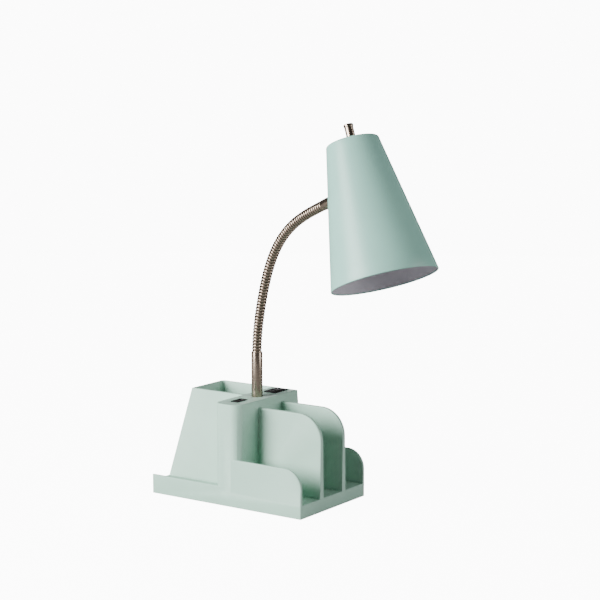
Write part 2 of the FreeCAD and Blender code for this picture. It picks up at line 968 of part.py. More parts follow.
def neck_link(number):
    low = pivot_distance(number - 1)
    high = pivot_distance(number)
    solid = ribbed_skin(number)
    if number > 1:
        solid = solid.fuse(ball(low))
    socket = Part.makeSphere(ball_radius + socket_gap, neck_point(high))
    return solid.cut([socket, hose_hole(low, high)])


# Head frame: Z up along the shade's axis, X the way the neck points, origin on the shade's top

def head_placement():
    end = pivot_distance(link_count) + head_fitting_length
    along = neck_direction(end)
    axis = along.cross(neck_side)
    origin = neck_point(end) + along * neck_wall_radius + axis * neck_drop
    return FreeCAD.Placement(origin, FreeCAD.Rotation(along, neck_side, axis))


def head(solid):
    placed = solid.copy()
    placed.Placement = head_placement().multiply(placed.Placement)
    return placed


def axis_point(z):
    return FreeCAD.Vector(0, 0, z)


def neck_axis_point(x):
    return FreeCAD.Vector(x, 0, -neck_drop)


def shade():
    outer = [
        (0, 0), (shade_top_radius - shade_shoulder, 0),
        (shade_top_radius + taper * shade_shoulder, -shade_shoulder), (shade_mouth_radius, -shade_length),
        (shade_mouth_radius - hem_skin, -shade_length),
        (shade_mouth_radius - hem_skin - taper * hem_height, -shade_length + hem_height),
        (shade_mouth_radius - shade_skin - taper * hem_height, -shade_length + hem_height),
        (shade_top_radius - shade_skin + taper * shade_shoulder, -shade_shoulder),
        (shade_top_radius - shade_shoulder, -shade_skin), (0, -shade_skin),
    ]
    solid = turned(outer)
    shoulder = [
        edge for edge in solid.Edges
        if abs(edge.BoundBox.ZMin + shade_shoulder) < shade_skin / 2
        and edge.BoundBox.ZLength < shade_skin / 2
        and edge.BoundBox.XMax > shade_top_radius
    ]
    solid = solid.makeFillet(shade_shoulder, shoulder)
    holes = [
        rod(bushing_radius, axis_point(-shade_skin - cut_overrun), axis_point(cut_overrun)),
        rod(thread_radius + thread_gap, neck_axis_point(-neck_wall_radius - saddle_thickness),
            neck_axis_point(-neck_wall_radius / 2)),
    ]
    return head(solid.cut(holes))


def outer_cone():
    return Part.makeCone(shade_mouth_radius, shade_top_radius, shade_length, axis_point(-shade_length), up)


def inner_cone():
    return Part.makeCone(shade_mouth_radius - shade_skin, shade_top_radius - shade_skin, shade_length,
                         axis_point(-shade_length), up)


def saddle_reach():
    # How far the sloping wall moves across the saddle's radius
    return taper * inner_saddle_radius


def neck_saddle():
    # A bush whose inner face follows the cone
    start = neck_axis_point(-neck_wall_radius - saddle_thickness)
    solid = tube(saddle_radius, thread_radius, start, neck_axis_point(-neck_wall_radius + 2 * saddle_reach()))
    return head(solid.cut(outer_cone()))


def inner_seat_x():
    return -neck_wall_radius + shade_skin + saddle_reach() + inner_saddle_thickness


def inner_saddle():
    start = neck_axis_point(-neck_wall_radius - saddle_thickness)
    solid = tube(inner_saddle_radius, thread_radius, start, neck_axis_point(inner_seat_x()))
    return head(solid.common(inner_cone()))


def head_washer():
    start = inner_seat_x()
    return head(tube(head_washer_radius, thread_radius, neck_axis_point(start),
                     neck_axis_point(start + head_washer_thickness)))


def head_nut():
    start = neck_axis_point(inner_seat_x() + head_washer_thickness)
    end = neck_axis_point(inner_seat_x() + head_washer_thickness + head_nut_height)
    return head(hexagon(head_nut_across_flats, start, end).cut(rod(thread_radius, start, end)))


def thread_end_x():
    return -neck_wall_radius + head_thread_reach


def head_fitting():
    # The neck's end fitting: ball below, plain shank, thread through the shade's wall
    joint = pivot_distance(link_count)
    flange_start = rib_gap / 2
    joint_x = -neck_wall_radius - head_fitting_length
    shank = rod(fitting_radius, neck_axis_point(joint_x + flange_start),
                neck_axis_point(-neck_wall_radius - saddle_thickness))
    thread = rod(thread_radius, neck_axis_point(-neck_wall_radius - saddle_thickness),
                 neck_axis_point(thread_end_x()))
    solid = head(joined([shank, thread])).fuse(ball(joint))
    start = head_placement().multVec(neck_axis_point(joint_x - ball_radius))
    end = head_placement().multVec(neck_axis_point(thread_end_x()))
    return solid.cut(rod(hose_bore, start, end))


def head_sleeve():
    end = -neck_wall_radius - saddle_thickness
    start = end - head_sleeve_length + rib_gap / 2
    solid = tube(head_sleeve_radius, head_sleeve_radius - head_sleeve_skin, neck_axis_point(start),
                 neck_axis_point(end))
    return head(solid)


# Switch and knob

def ring_nut():
    solid = tube(ring_nut_radius, bushing_radius, axis_point(0), axis_point(ring_nut_height))
    notches = []
    for step in range(ring_nut_notches):
        turn = FreeCAD.Rotation(up, 360.0 * step / ring_nut_notches)
        centre = turn.multVec(FreeCAD.Vector(ring_nut_radius, 0, 0))
        notches.append(rod(ring_nut_notch, centre, centre + axis_point(ring_nut_height)))
    return head(solid.cut(notches))


def switch_bushing():
    bore = shaft_radius + shaft_fit
    return head(tube(bushing_radius, bore, axis_point(-shade_skin), axis_point(bushing_reach)))


def upper_edges(solid, top):
    return [edge for edge in solid.Edges if edge.BoundBox.ZMin > top - edge_search]


def switch_housing():
    top = -shade_skin
    solid = rod(switch_radius, axis_point(top - switch_height), axis_point(top))
    solid = solid.makeFillet(switch_edge, upper_edges(solid, top))
    pocket_hole = rod(shaft_radius + shaft_pocket_gap, axis_point(top - shaft_drop - shaft_pocket_gap),
                      axis_point(top))
    entry_z = top - switch_height / 2
    entry = rod(lead_hole_radius, FreeCAD.Vector(-switch_radius - cut_overrun, 0, entry_z),
                FreeCAD.Vector(-shaft_radius - shaft_pocket_gap - shaft_pocket_gap, 0, entry_z))
    return head(solid.cut([pocket_hole, entry]))


def knob_foot():
    return bushing_reach + knob_clearance


def switch_shaft():
    top = knob_foot() + knob_bore_depth
    return head(rod(shaft_radius, axis_point(-shade_skin - shaft_drop), axis_point(top)))


def switch_knob():
    foot = knob_foot()
    tip = foot + knob_length
    outline = [
        (0, foot), (knob_radius - knob_edge, foot), (knob_radius, foot + knob_edge),
        (knob_radius, tip - knob_cap_height - knob_edge), (knob_cap_radius, tip - knob_cap_height),
        (knob_cap_radius, tip - knob_edge), (knob_cap_radius - knob_edge, tip), (0, tip),
    ]
    bore = rod(shaft_radius, axis_point(foot), axis_point(foot + knob_bore_depth))
    return head(turned(outline).cut(bore))


# Lampholder and bulb

def holder_top():
    return -shade_skin - switch_height


def lampholder_shell():
    top = holder_top()
    solid = rod(holder_radius, axis_point(top - holder_height), axis_point(top))
    solid = solid.makeFillet(holder_edge, upper_edges(solid, top))
    hollow = rod(holder_radius - holder_skin, axis_point(top - holder_height), axis_point(top - holder_floor))
    return head(solid.cut(hollow))


def wavy_tube(crest, skin, top, length):
    # A rolled screw thread, drawn as rings of its pitch
    outer = [(crest - thread_depth, top)]
    inner = [(crest - thread_depth - skin, top)]
    for turn in range(thread_turns):
        ring = top - length + (thread_turns - turn) * thread_pitch
        for radius, drop in ((crest - thread_depth, 0), (crest, thread_pitch / 2)):
            outer.append((radius, ring - drop))
            inner.append((radius - skin, ring - drop))
    outer.append((crest - thread_depth, top - length))
    inner.append((crest - thread_depth - skin, top - length))
    return turned(outer + inner[::-1])


def shell_top():
    return holder_top() - holder_floor


def socket_screw_shell():
    return head(wavy_tube(screw_shell_radius, screw_shell_skin, shell_top(), screw_shell_length))


def cap_top():
    return shell_top() - tip_spring_rise


def socket_tip_spring():
    # A round contact on a short stem, pressed down on the bulb's tip
    top = shell_top()
    stem = rod(tip_spring_radius / 3, axis_point(cap_top() + tip_spring_thickness), axis_point(top))
    disc = rod(tip_spring_radius, axis_point(cap_top()), axis_point(cap_top() + tip_spring_thickness))
    return head(joined([disc, stem]))


def cap_bottom():
    return cap_top() - tip_height - cap_glass_height - cap_length


def bulb_cap():
    crest = screw_shell_radius - screw_shell_skin - thread_depth - cap_gap
    top = cap_bottom() + cap_length
    return head(wavy_tube(crest, cap_skin, top, cap_length))


def bulb_tip():
    top = cap_top()
    middle = top - tip_height
    outline = [
        (0, top), (cap_glass_radius / 2, top), (cap_glass_radius, middle),
        (bulb_tip_edge(), middle - cap_glass_height), (0, middle - cap_glass_height),
    ]
    return head(turned(outline))


def bulb_tip_edge():
    return screw_shell_radius - screw_shell_skin - 2 * thread_depth - cap_gap


def bulb_neck():
    top = cap_bottom()
    bottom = top - bulb_neck_length
    outline = [
        (0, top), (bulb_neck_radius, top), (bulb_neck_radius + bulb_skin, top - bulb_skin),
        (bulb_waist_radius, bottom + bulb_skin), (bulb_waist_radius, bottom), (0, bottom),
    ]
    return head(turned(outline))


def bulb_globe():
    # A frosted cap: a ring up to the widest circle, then a rounded end
    top = cap_bottom() - bulb_neck_length
    outer = globe_curve(bulb_waist_radius, bulb_radius, top, globe_length)
    inner = globe_curve(bulb_waist_radius - bulb_skin, bulb_radius - bulb_skin, top, globe_length - bulb_skin)
    return head(outer.cut(inner))


def globe_curve(waist, widest, top, length):
    middle = top - length + widest
    rim = FreeCAD.Vector(waist, 0, top)
    bulge = FreeCAD.Vector(widest - (widest - waist) / 4, 0, (top + middle) / 2)
    side = FreeCAD.Vector(widest, 0, middle)
    low = FreeCAD.Vector(widest * math.sqrt(0.5), 0, middle - widest * math.sqrt(0.5))
    end = axis_point(middle - widest)
    edges = [
        Part.Arc(rim, bulge, side).toShape(),
        Part.Arc(side, low, end).toShape(),
        Part.makeLine(end, axis_point(top)),
        Part.makeLine(axis_point(top), rim),
    ]
    return Part.Face(Part.Wire(edges)).revolve(FreeCAD.Vector(0, 0, 0), up, 360)


# Wires

def wire_along(points, radius, bends):
    # Straight runs joined by tangent arcs, one bend radius for each inner point
    edges = []
    start = points[0]
    for before, corner, after, bend in zip(points, points[1:], points[2:], bends):
        come = (corner - before).normalize()
        go = (after - corner).normalize()
        half = come.getAngle(go) / 2
        reach = bend * math.tan(half)
        first = corner - come * reach
        last = corner + go * reach
        inward = (go - come).normalize()
        middle = corner + inward * (bend / math.cos(half) - bend)
        edges.append(Part.makeLine(start, first))
        edges.append(Part.Arc(first, middle, last).toShape())
        start = last
    edges.append(Part.makeLine(start, points[-1]))
    path = Part.Wire(edges)
    ring = Part.makeCircle(radius, points[0], points[1] - points[0])
    return path.makePipeShell([Part.Wire([ring])], True, False)


def lamp_wires():
    # From the outlet down, round under the nut and up into the lamp post
    high = top_z - outlet_body_depth
    bend = (outlet_y - post_y) / 2 - lamp_wire_flat
    low = high - lamp_wire_drop - bend
    end = top_z - wall - lamp_wire_tuck
    wires = []
    for side in (-1, 1):
        x = post_x + side * wire_spacing / 2
        points = [FreeCAD.Vector(x, outlet_y, high), FreeCAD.Vector(x, outlet_y, low),
                  FreeCAD.Vector(x, post_y, low), FreeCAD.Vector(x, post_y, end)]
        wires.append(wire_along(points, wire_radius, (bend, bend)))
    return wires


def charger_wires():
    # From the outlet to the foot of the charger board, below the lamp's wires
    start_y = outlet_y + charger_wire_offset
    high = top_z - outlet_body_depth
    board_low = board_top() - board_height
    low = board_low - charger_wire_drop - charger_wire_bend
    board_x = sum(board_x_span()) / 2
    wires = []
    for side in (-1, 1):
        start_x = spine_x + side * wire_spacing
        end_y = usb_y + side * wire_spacing
        points = [FreeCAD.Vector(start_x, start_y, high), FreeCAD.Vector(start_x, start_y, low),
                  FreeCAD.Vector(board_x, end_y, low), FreeCAD.Vector(board_x, end_y, board_low)]
        wires.append(wire_along(points, wire_radius, (charger_wire_bend, charger_wire_bend)))
    return wires


def head_wires():
    # From the neck's thread end up to the side of the switch
    entry_z = -shade_skin - switch_height / 2
    start_x = thread_end_x()
    mid_x = (start_x - holder_radius) / 2
    end_x = -switch_radius + head_wire_in
    wires = []
    for side in (-1, 1):
        y = side * head_wire_spacing / 2
        places = ((start_x, -neck_drop), (mid_x, -neck_drop), (mid_x, entry_z), (end_x, entry_z))
        points = [FreeCAD.Vector(x, y, z) for x, z in places]
        wires.append(head(wire_along(points, wire_radius, (head_wire_bend, head_wire_bend))))
    return wires


# One file for each node

def solids_of(shape):
    pieces = shape if isinstance(shape, list) else [shape]
    solids = [solid for piece in pieces for solid in piece.Solids]
    return solids[0] if len(solids) == 1 else Part.makeCompound(solids)


def nodes():
    made = {
        "organizer_body": organizer_body(),
        "bottom_cover": bottom_cover(),
        "cover_screws": cover_screws(),
        "base_pad": base_pad(),
        "ballast_plate": ballast_plate(),
        "ballast_screws": ballast_screws(),
        "cord_inlet_bush": cord_inlet_bush(),
        "usb_bezel": usb_bezel(),
        "usb_shell": usb_shell(),
        "usb_tongue": usb_tongue(),
        "usb_contacts": usb_contacts(),
        "charger_board": charger_board(),
        "charger_screws": charger_screws(),
        "charger_transformer": charger_transformer(),
        "charger_capacitors": charger_capacitors(),
        "outlet_face": outlet_face(),
        "outlet_body": outlet_body(),
        "outlet_contacts": outlet_contacts(),
        "base_fitting": base_fitting(),
        "base_washer": base_washer(),
        "base_lock_washer": base_lock_washer(),
        "base_nut": base_nut(),
        "base_sleeve": base_sleeve(),
        "head_fitting": head_fitting(),
        "head_sleeve": head_sleeve(),
        "neck_saddle": neck_saddle(),
        "inner_saddle": inner_saddle(),
        "head_washer": head_washer(),
        "head_nut": head_nut(),
        "shade": shade(),
        "ring_nut": ring_nut(),
        "switch_bushing": switch_bushing(),
        "switch_housing": switch_housing(),
        "switch_shaft": switch_shaft(),
        "switch_knob": switch_knob(),
        "lampholder_shell": lampholder_shell(),
        "socket_screw_shell": socket_screw_shell(),
        "socket_tip_spring": socket_tip_spring(),
        "bulb_cap": bulb_cap(),
        "bulb_tip": bulb_tip(),
        "bulb_neck": bulb_neck(),
        "bulb_globe": bulb_globe(),
        "base_wires": lamp_wires() + charger_wires(),
        "head_wires": head_wires(),
    }
    for number in range(1, link_count + 1):
        made["neck_link_%02d" % number] = neck_link(number)
    return made


os.makedirs("parts", exist_ok=True)
for name, shape in nodes().items():
    node = solids_of(shape)
    node.exportStep("parts/" + name + ".step")
    box = node.BoundBox
    print("%-20s solids %2d valid %s volume %9.1f  x %.1f %.1f y %.1f %.1f z %.1f %.1f" % (
        name, len(node.Solids), node.isValid(), node.Volume,
        box.XMin, box.XMax, box.YMin, box.YMax, box.ZMin, box.ZMax))
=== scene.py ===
import json
import math

import bmesh
import bpy
from bpy.props import FloatProperty, FloatVectorProperty, IntProperty, PointerProperty
from mathutils import Matrix, Vector

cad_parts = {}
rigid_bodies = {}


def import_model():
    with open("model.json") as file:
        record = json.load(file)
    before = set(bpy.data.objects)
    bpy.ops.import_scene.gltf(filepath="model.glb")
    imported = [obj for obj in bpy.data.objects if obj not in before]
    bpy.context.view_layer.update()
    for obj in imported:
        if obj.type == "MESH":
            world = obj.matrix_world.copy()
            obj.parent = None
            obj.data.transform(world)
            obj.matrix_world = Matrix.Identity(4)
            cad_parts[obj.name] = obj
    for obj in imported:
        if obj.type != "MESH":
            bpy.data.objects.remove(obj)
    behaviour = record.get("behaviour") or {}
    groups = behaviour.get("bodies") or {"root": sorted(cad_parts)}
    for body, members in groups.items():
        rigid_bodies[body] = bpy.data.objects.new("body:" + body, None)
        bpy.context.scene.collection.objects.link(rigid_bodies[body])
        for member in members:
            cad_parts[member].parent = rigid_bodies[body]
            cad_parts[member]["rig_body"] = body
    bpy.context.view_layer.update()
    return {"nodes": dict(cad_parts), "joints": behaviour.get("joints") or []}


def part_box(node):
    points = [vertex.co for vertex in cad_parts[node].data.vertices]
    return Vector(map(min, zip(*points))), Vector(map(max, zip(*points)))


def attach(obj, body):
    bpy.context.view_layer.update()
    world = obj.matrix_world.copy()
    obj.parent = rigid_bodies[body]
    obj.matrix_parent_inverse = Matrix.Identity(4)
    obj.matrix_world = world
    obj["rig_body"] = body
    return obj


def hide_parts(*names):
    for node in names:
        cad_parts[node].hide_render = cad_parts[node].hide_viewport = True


bl_info = {
    "name": "Organizer desk lamp",
    "version": (1, 0, 0),
    "blender": (4, 5, 0),
    "location": "3D View > Sidebar > Desk Lamp",
    "description": "Fine shapes and finishes for a desk lamp on an organizer base",
    "category": "Object",
}

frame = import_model()

MM = 0.001
DUST = (0.62, 0.61, 0.58)

# Links of the flexible neck, from the post upwards
NECK_LINKS = sorted(name for name in frame["nodes"] if name.startswith("neck_link"))

# Area lights: name, place, diameter, and the setting that holds the power
LIGHT_AIM = (0.08, -0.02, 0.22)
LIGHTS = (
    ("key_light", (-0.90, -2.00, 0.90), 1.5, "key"),
    ("fill_light", (2.20, 0.70, 0.60), 1.4, "fill"),
    ("top_light", (0.10, 0.30, 2.00), 1.8, "top"),
    ("back_light", (-1.30, 2.30, 0.30), 1.4, "back"),
)


def colour_property(name, description, default):
    return FloatVectorProperty(
        name=name, description=description, default=default, subtype="COLOR", size=3, min=0, max=1)


def length_property(name, description, default):
    return FloatProperty(
        name=name, description=description, default=default, unit="LENGTH", min=0, precision=5)


def power_property(name, description, default):
    return FloatProperty(name=name, description=description, default=default, min=0, subtype="POWER")


class OrganizerSettings(bpy.types.PropertyGroup):
    """The moulded base and its small parts."""

    plastic: colour_property("Plastic", "Colour of the moulded base", (0.398, 0.618, 0.505))
    black: colour_property("Black plastic", "Colour of the port and the outlet", (0.007, 0.007, 0.008))
    roughness: FloatProperty(
        name="Roughness", description="Roughness of the moulded base", default=0.46, min=0, max=1,
        subtype="FACTOR")
    edge: length_property("Edge round", "Softening of the moulding's sharp edges", 0.35 * MM)
    trim_edge: length_property("Trim edge", "Softening of the port's and the outlet's edges", 0.18 * MM)
    grain: length_property("Grain", "Depth of the mould's fine texture", 0.02 * MM)
    screw_head: length_property("Screw head", "Radius of the cover screws' heads", 3.0 * MM)


class NeckSettings(bpy.types.PropertyGroup):
    """The flexible neck and its sleeves."""

    nickel: colour_property("Nickel", "Colour of the brushed nickel", (0.36, 0.285, 0.225))
    beads: IntProperty(name="Ribs", description="Ribs on each length of the neck", default=4, min=2, max=8)
    bead_centre: length_property("Rib centre", "Radius at which the rib's section is centred", 5.45 * MM)
    bead_height: length_property("Rib height", "Half height of the rib's section", 0.78 * MM)
    bead_width: length_property("Rib width", "Half width of the rib's section", 1.50 * MM)
    edge: length_property("Edge round", "Softening of the sleeves' ends", 0.20 * MM)


class ShadeSettings(bpy.types.PropertyGroup):
    """The tapered shade."""

    paint: colour_property("Paint", "Colour of the shade's outside", (0.305, 0.585, 0.500))
    # The lining is white paint given a darker lilac grey: painted shade of the shade's inside
    lining_painted_shade: colour_property("Lining", "Colour of the shade's inside", (0.58, 0.56, 0.62))
    length: length_property("Length", "Length of the shade along its axis", 165.7 * MM)
    top_radius: length_property("Top radius", "Radius of the closed top", 30.7 * MM)
    mouth_radius: length_property("Mouth radius", "Radius of the open mouth", 62.7 * MM)
    skin: length_property("Sheet", "Thickness of the sheet metal", 0.8 * MM)
    shoulder: length_property("Shoulder", "Rounding between the top and the side", 2.6 * MM)
    hem: length_property("Hem", "Radius of the rolled edge at the mouth", 0.9 * MM)
    bore: length_property("Bore", "Radius of the hole in the top", 5.0 * MM)
    segments: IntProperty(
        name="Segments", description="Faces round the shade", default=192, min=48, max=384)


class StageSettings(bpy.types.PropertyGroup):
    """Camera, floor and lights."""

    azimuth: FloatProperty(
        name="Azimuth", description="Side from which the camera looks", default=math.radians(34.96),
        subtype="ANGLE")
    elevation: FloatProperty(
        name="Elevation", description="Camera's tilt above level", default=math.radians(8.12),
        subtype="ANGLE")
    distance: length_property("Distance", "Camera's distance from the middle of the base", 2186.5 * MM)
    shift_right: length_property("Move right", "Camera's step to its right", 53.0 * MM)
    shift_up: length_property("Move up", "Camera's step up its own vertical", 246.3 * MM)
    lift: length_property("Lift", "Height of the base's rim over the floor", 1.0 * MM)
    lens: FloatProperty(name="Lens", description="Focal length in millimetres", default=103.37, min=10)
    key: power_property("Key light", "Power of the key light", 148.0)
    fill: power_property("Fill light", "Power of the fill light", 30.0)
    top: power_property("Top light", "Power of the overhead light", 0.5)
    back: power_property("Back light", "Power of the back light", 8.0)
    sky: FloatProperty(name="Surround", description="Strength of the pale surround", default=0.05, min=0)
    floor: colour_property("Floor", "Colour of the floor and backdrop", (0.38, 0.38, 0.38))
    glow: FloatProperty(
        name="Backdrop glow", description="Light that the backdrop adds where the camera sees it",
        default=11.0, min=0)


# Node tree helpers

def add(tree, kind, **settings):
    made = tree.nodes.new(kind)
    for key, value in settings.items():
        setattr(made, key, value)
    return made


def feed(tree, target, **values):
    # Values by input name, with underscores for spaces: a socket is linked and a constant is set
    for key, value in values.items():
        socket = target.inputs[key.replace("_", " ")]
        if isinstance(value, bpy.types.NodeSocket):
            tree.links.new(value, socket)
        else:
            socket.default_value = value
    return target


def maths(tree, operation, first, second=0.0, third=0.0):
    made = add(tree, "ShaderNodeMath", operation=operation)
    for socket, value in zip(made.inputs, (first, second, third)):
        if isinstance(value, bpy.types.NodeSocket):
            tree.links.new(value, socket)
        else:
            socket.default_value = value
    return made.outputs[0]


def vector_maths(tree, operation, first, second):
    made = add(tree, "ShaderNodeVectorMath", operation=operation)
    for socket, value in zip(made.inputs, (first, second)):
        if isinstance(value, bpy.types.NodeSocket):
            tree.links.new(value, socket)
        else:
            socket.default_value = value
    return made.outputs["Value"] if operation in ("DOT_PRODUCT", "LENGTH") else made.outputs["Vector"]


def span(tree, value, low, high, to_low=0.0, to_high=1.0):
    made = add(tree, "ShaderNodeMapRange", interpolation_type="SMOOTHSTEP")
    tree.links.new(value, made.inputs["Value"])
    for key, number in (("From Min", low), ("From Max", high), ("To Min", to_low), ("To Max", to_high)):
        made.inputs[key].default_value = number
    return made.outputs["Result"]


def noise(tree, vector, scale, detail=2.0, rough=0.5):
    made = add(tree, "ShaderNodeTexNoise")
    feed(tree, made, Vector=vector, Scale=scale, Detail=detail, Roughness=rough)
    return made.outputs["Fac"]


def blend(tree, share, first, second):
    # A mix of two colours
    made = add(tree, "ShaderNodeMix", data_type="RGBA")
    sockets = [made.inputs[0], made.inputs[6], made.inputs[7]]
    for socket, value in zip(sockets, (share, first, second)):
        if isinstance(value, bpy.types.NodeSocket):
            tree.links.new(value, socket)
        elif isinstance(value, float):
            socket.default_value = value
        else:
            socket.default_value = (*value, 1.0)
    return made.outputs[2]


def shade_of(colour, factor):
    return tuple(min(1.0, channel * factor) for channel in colour)


def effect(name, inputs, outputs):
    """A shader node group with named sockets, or the one already built."""
    if name in bpy.data.node_groups:
        return bpy.data.node_groups[name], None, None
    tree = bpy.data.node_groups.new(name, "ShaderNodeTree")
    for label, kind, default in inputs:
        socket = tree.interface.new_socket(name=label, in_out="INPUT", socket_type=kind)
        if default is not None:
            socket.default_value = default
    for label, kind in outputs:
        tree.interface.new_socket(name=label, in_out="OUTPUT", socket_type=kind)
    return tree, add(tree, "NodeGroupInput"), add(tree, "NodeGroupOutput")


def use_effect(tree, group, **values):
    made = add(tree, "ShaderNodeGroup", node_tree=group)
    return feed(tree, made, **values)


# Shared effects

def moulded_grain():
    """Fine texture of a spark-eroded mould, with slow changes of tone."""
    tree, source, result = effect(
        "Moulded grain",
        [("Vector", "NodeSocketVector", None), ("Scale", "NodeSocketFloat", 1400.0)],
        [("Height", "NodeSocketFloat"), ("Tone", "NodeSocketFloat")])
    if source is None:
        return tree
    vector = source.outputs["Vector"]
    scale = source.outputs["Scale"]
    fine = noise(tree, vector, scale, 3.0, 0.6)
    cells = add(tree, "ShaderNodeTexVoronoi", feature="SMOOTH_F1")
    feed(tree, cells, Vector=vector, Scale=maths(tree, "MULTIPLY", scale, 0.6))
    coarse = maths(tree, "MULTIPLY", cells.outputs["Distance"], 0.35)
    height = maths(tree, "MULTIPLY_ADD", fine, 0.65, coarse)
    slow = noise(tree, vector, maths(tree, "MULTIPLY", scale, 0.012), 3.0, 0.55)
    feed(tree, result, Height=height, Tone=slow)
    return tree


def worn_edges():
    """A mask of the edges that hands and paper rub."""
    tree, source, result = effect(
        "Worn edges",
        [("Vector", "NodeSocketVector", None), ("Amount", "NodeSocketFloat", 0.5)],
        [("Mask", "NodeSocketFloat")])
    if source is None:
        return tree
    geometry = add(tree, "ShaderNodeNewGeometry")
    edge = span(tree, geometry.outputs["Pointiness"], 0.52, 0.62)
    broken = span(tree, noise(tree, source.outputs["Vector"], 90.0, 4.0, 0.6), 0.35, 0.65)
    mask = maths(tree, "MULTIPLY", edge, broken)
    feed(tree, result, Mask=maths(tree, "MULTIPLY", mask, source.outputs["Amount"]))
    return tree


def settled_dust():
    """A mask of thin dust on faces that look up."""
    tree, source, result = effect(
        "Settled dust",
        [("Vector", "NodeSocketVector", None), ("Amount", "NodeSocketFloat", 0.2)],
        [("Mask", "NodeSocketFloat")])
    if source is None:
        return tree
    geometry = add(tree, "ShaderNodeNewGeometry")
    facing = vector_maths(tree, "DOT_PRODUCT", geometry.outputs["Normal"], (0.0, 0.0, 1.0))
    upward = span(tree, facing, 0.55, 0.98)
    patches = span(tree, noise(tree, source.outputs["Vector"], 55.0, 5.0, 0.65), 0.3, 0.75)
    specks = span(tree, noise(tree, source.outputs["Vector"], 2600.0, 2.0, 0.5), 0.58, 0.72)
    dust = maths(tree, "MULTIPLY", upward, maths(tree, "MAXIMUM", patches, specks))
    feed(tree, result, Mask=maths(tree, "MULTIPLY", dust, source.outputs["Amount"]))
    return tree


def brushed_lines():
    """Fine lines across the local Z axis, as turning and brushing leave them."""
    tree, source, result = effect(
        "Brushed lines",
        [("Vector", "NodeSocketVector", None), ("Lines", "NodeSocketFloat", 9000.0)],
        [("Height", "NodeSocketFloat"), ("Streak", "NodeSocketFloat")])
    if source is None:
        return tree
    squeeze = add(tree, "ShaderNodeVectorMath", operation="MULTIPLY")
    tree.links.new(source.outputs["Vector"], squeeze.inputs[0])
    squeeze.inputs[1].default_value = (0.01, 0.01, 1.0)
    lines = noise(tree, squeeze.outputs["Vector"], source.outputs["Lines"], 2.0, 0.7)
    broad = maths(tree, "MULTIPLY", source.outputs["Lines"], 0.12)
    streak = noise(tree, squeeze.outputs["Vector"], broad, 2.0)
    feed(tree, result, Height=lines, Streak=streak)
    return tree


# Materials

def new_material(name, **values):
    """A material with its shader's constant values set on the shader's own sockets."""
    material = bpy.data.materials.new(name)
    material.use_nodes = True
    tree = material.node_tree
    shader = tree.nodes["Principled BSDF"]
    feed(tree, shader, **values)
    place = add(tree, "ShaderNodeTexCoord").outputs["Object"]
    return material, tree, shader, place


def bump(tree, shader, height, depth, strength=1.0):
    made = add(tree, "ShaderNodeBump")
    feed(tree, made, Height=height, Distance=depth, Strength=strength)
    feed(tree, shader, Normal=made.outputs["Normal"])


def moulded_plastic(name, colour, roughness, depth, scale=1400.0, wear=0.25, dust=0.10, specular=0.45):
    """Plastic out of a textured mould: soft sheen, slow tone changes, rubbed edges and a little dust."""
    material, tree, shader, place = new_material(name, Specular_IOR_Level=specular)
    grain = use_effect(tree, moulded_grain(), Vector=place, Scale=scale)
    edges = use_effect(tree, worn_edges(), Vector=place, Amount=wear)
    settled = use_effect(tree, settled_dust(), Vector=place, Amount=dust)
    base = blend(tree, span(tree, grain.outputs["Tone"], 0.3, 0.7),
                 shade_of(colour, 0.965), shade_of(colour, 1.03))
    rubbed = blend(tree, edges.outputs["Mask"], base, shade_of(colour, 1.35))
    dusty = blend(tree, settled.outputs["Mask"], rubbed, DUST)
    feed(tree, shader, Base_Color=dusty)
    soft = span(tree, grain.outputs["Height"], 0.25, 0.75, roughness - 0.05, roughness + 0.06)
    duller = maths(tree, "MULTIPLY_ADD", settled.outputs["Mask"], 0.4, soft)
    feed(tree, shader, Roughness=duller)
    bump(tree, shader, grain.outputs["Height"], depth)
    return material


def painted_sheet(name, colour, roughness, specular=0.5):
    """Sprayed paint on sheet metal: faint orange peel and slow tone changes."""
    material, tree, shader, place = new_material(name, Specular_IOR_Level=specular)
    peel = noise(tree, place, 420.0, 2.0, 0.45)
    slow = noise(tree, place, 14.0, 3.0, 0.5)
    edges = use_effect(tree, worn_edges(), Vector=place, Amount=0.15)
    settled = use_effect(tree, settled_dust(), Vector=place, Amount=0.12)
    base = blend(tree, span(tree, slow, 0.3, 0.7), shade_of(colour, 0.97), shade_of(colour, 1.03))
    rubbed = blend(tree, edges.outputs["Mask"], base, shade_of(colour, 1.3))
    feed(tree, shader, Base_Color=blend(tree, settled.outputs["Mask"], rubbed, DUST))
    feed(tree, shader, Roughness=span(tree, slow, 0.2, 0.8, roughness - 0.04, roughness + 0.04))
    bump(tree, shader, peel, 0.05 * MM)
    return material


def turned_metal(name, colour, roughness, axis=Vector((0, 0, 1)), depth=0.0006 * MM, streak=0.07):
    """Metal turned and brushed about an axis, then plated."""
    material, tree, shader, place = new_material(name, Metallic=1.0)
    turn = add(tree, "ShaderNodeMapping", vector_type="TEXTURE")
    turn.inputs["Rotation"].default_value = axis.to_track_quat("Z", "Y").to_euler()
    tree.links.new(place, turn.inputs["Vector"])
    brushed = use_effect(tree, brushed_lines(), Vector=turn.outputs["Vector"], Lines=9000.0)
    smudge = noise(tree, place, 120.0, 4.0, 0.6)
    base = blend(tree, span(tree, brushed.outputs["Streak"], 0.3, 0.7),
                 shade_of(colour, 1.0 - streak), shade_of(colour, 1.0 + streak))
    feed(tree, shader, Base_Color=base)
    rough = span(tree, smudge, 0.3, 0.75, roughness - 0.03, roughness + 0.07)
    feed(tree, shader, Roughness=rough)
    bump(tree, shader, brushed.outputs["Height"], depth)
    return material


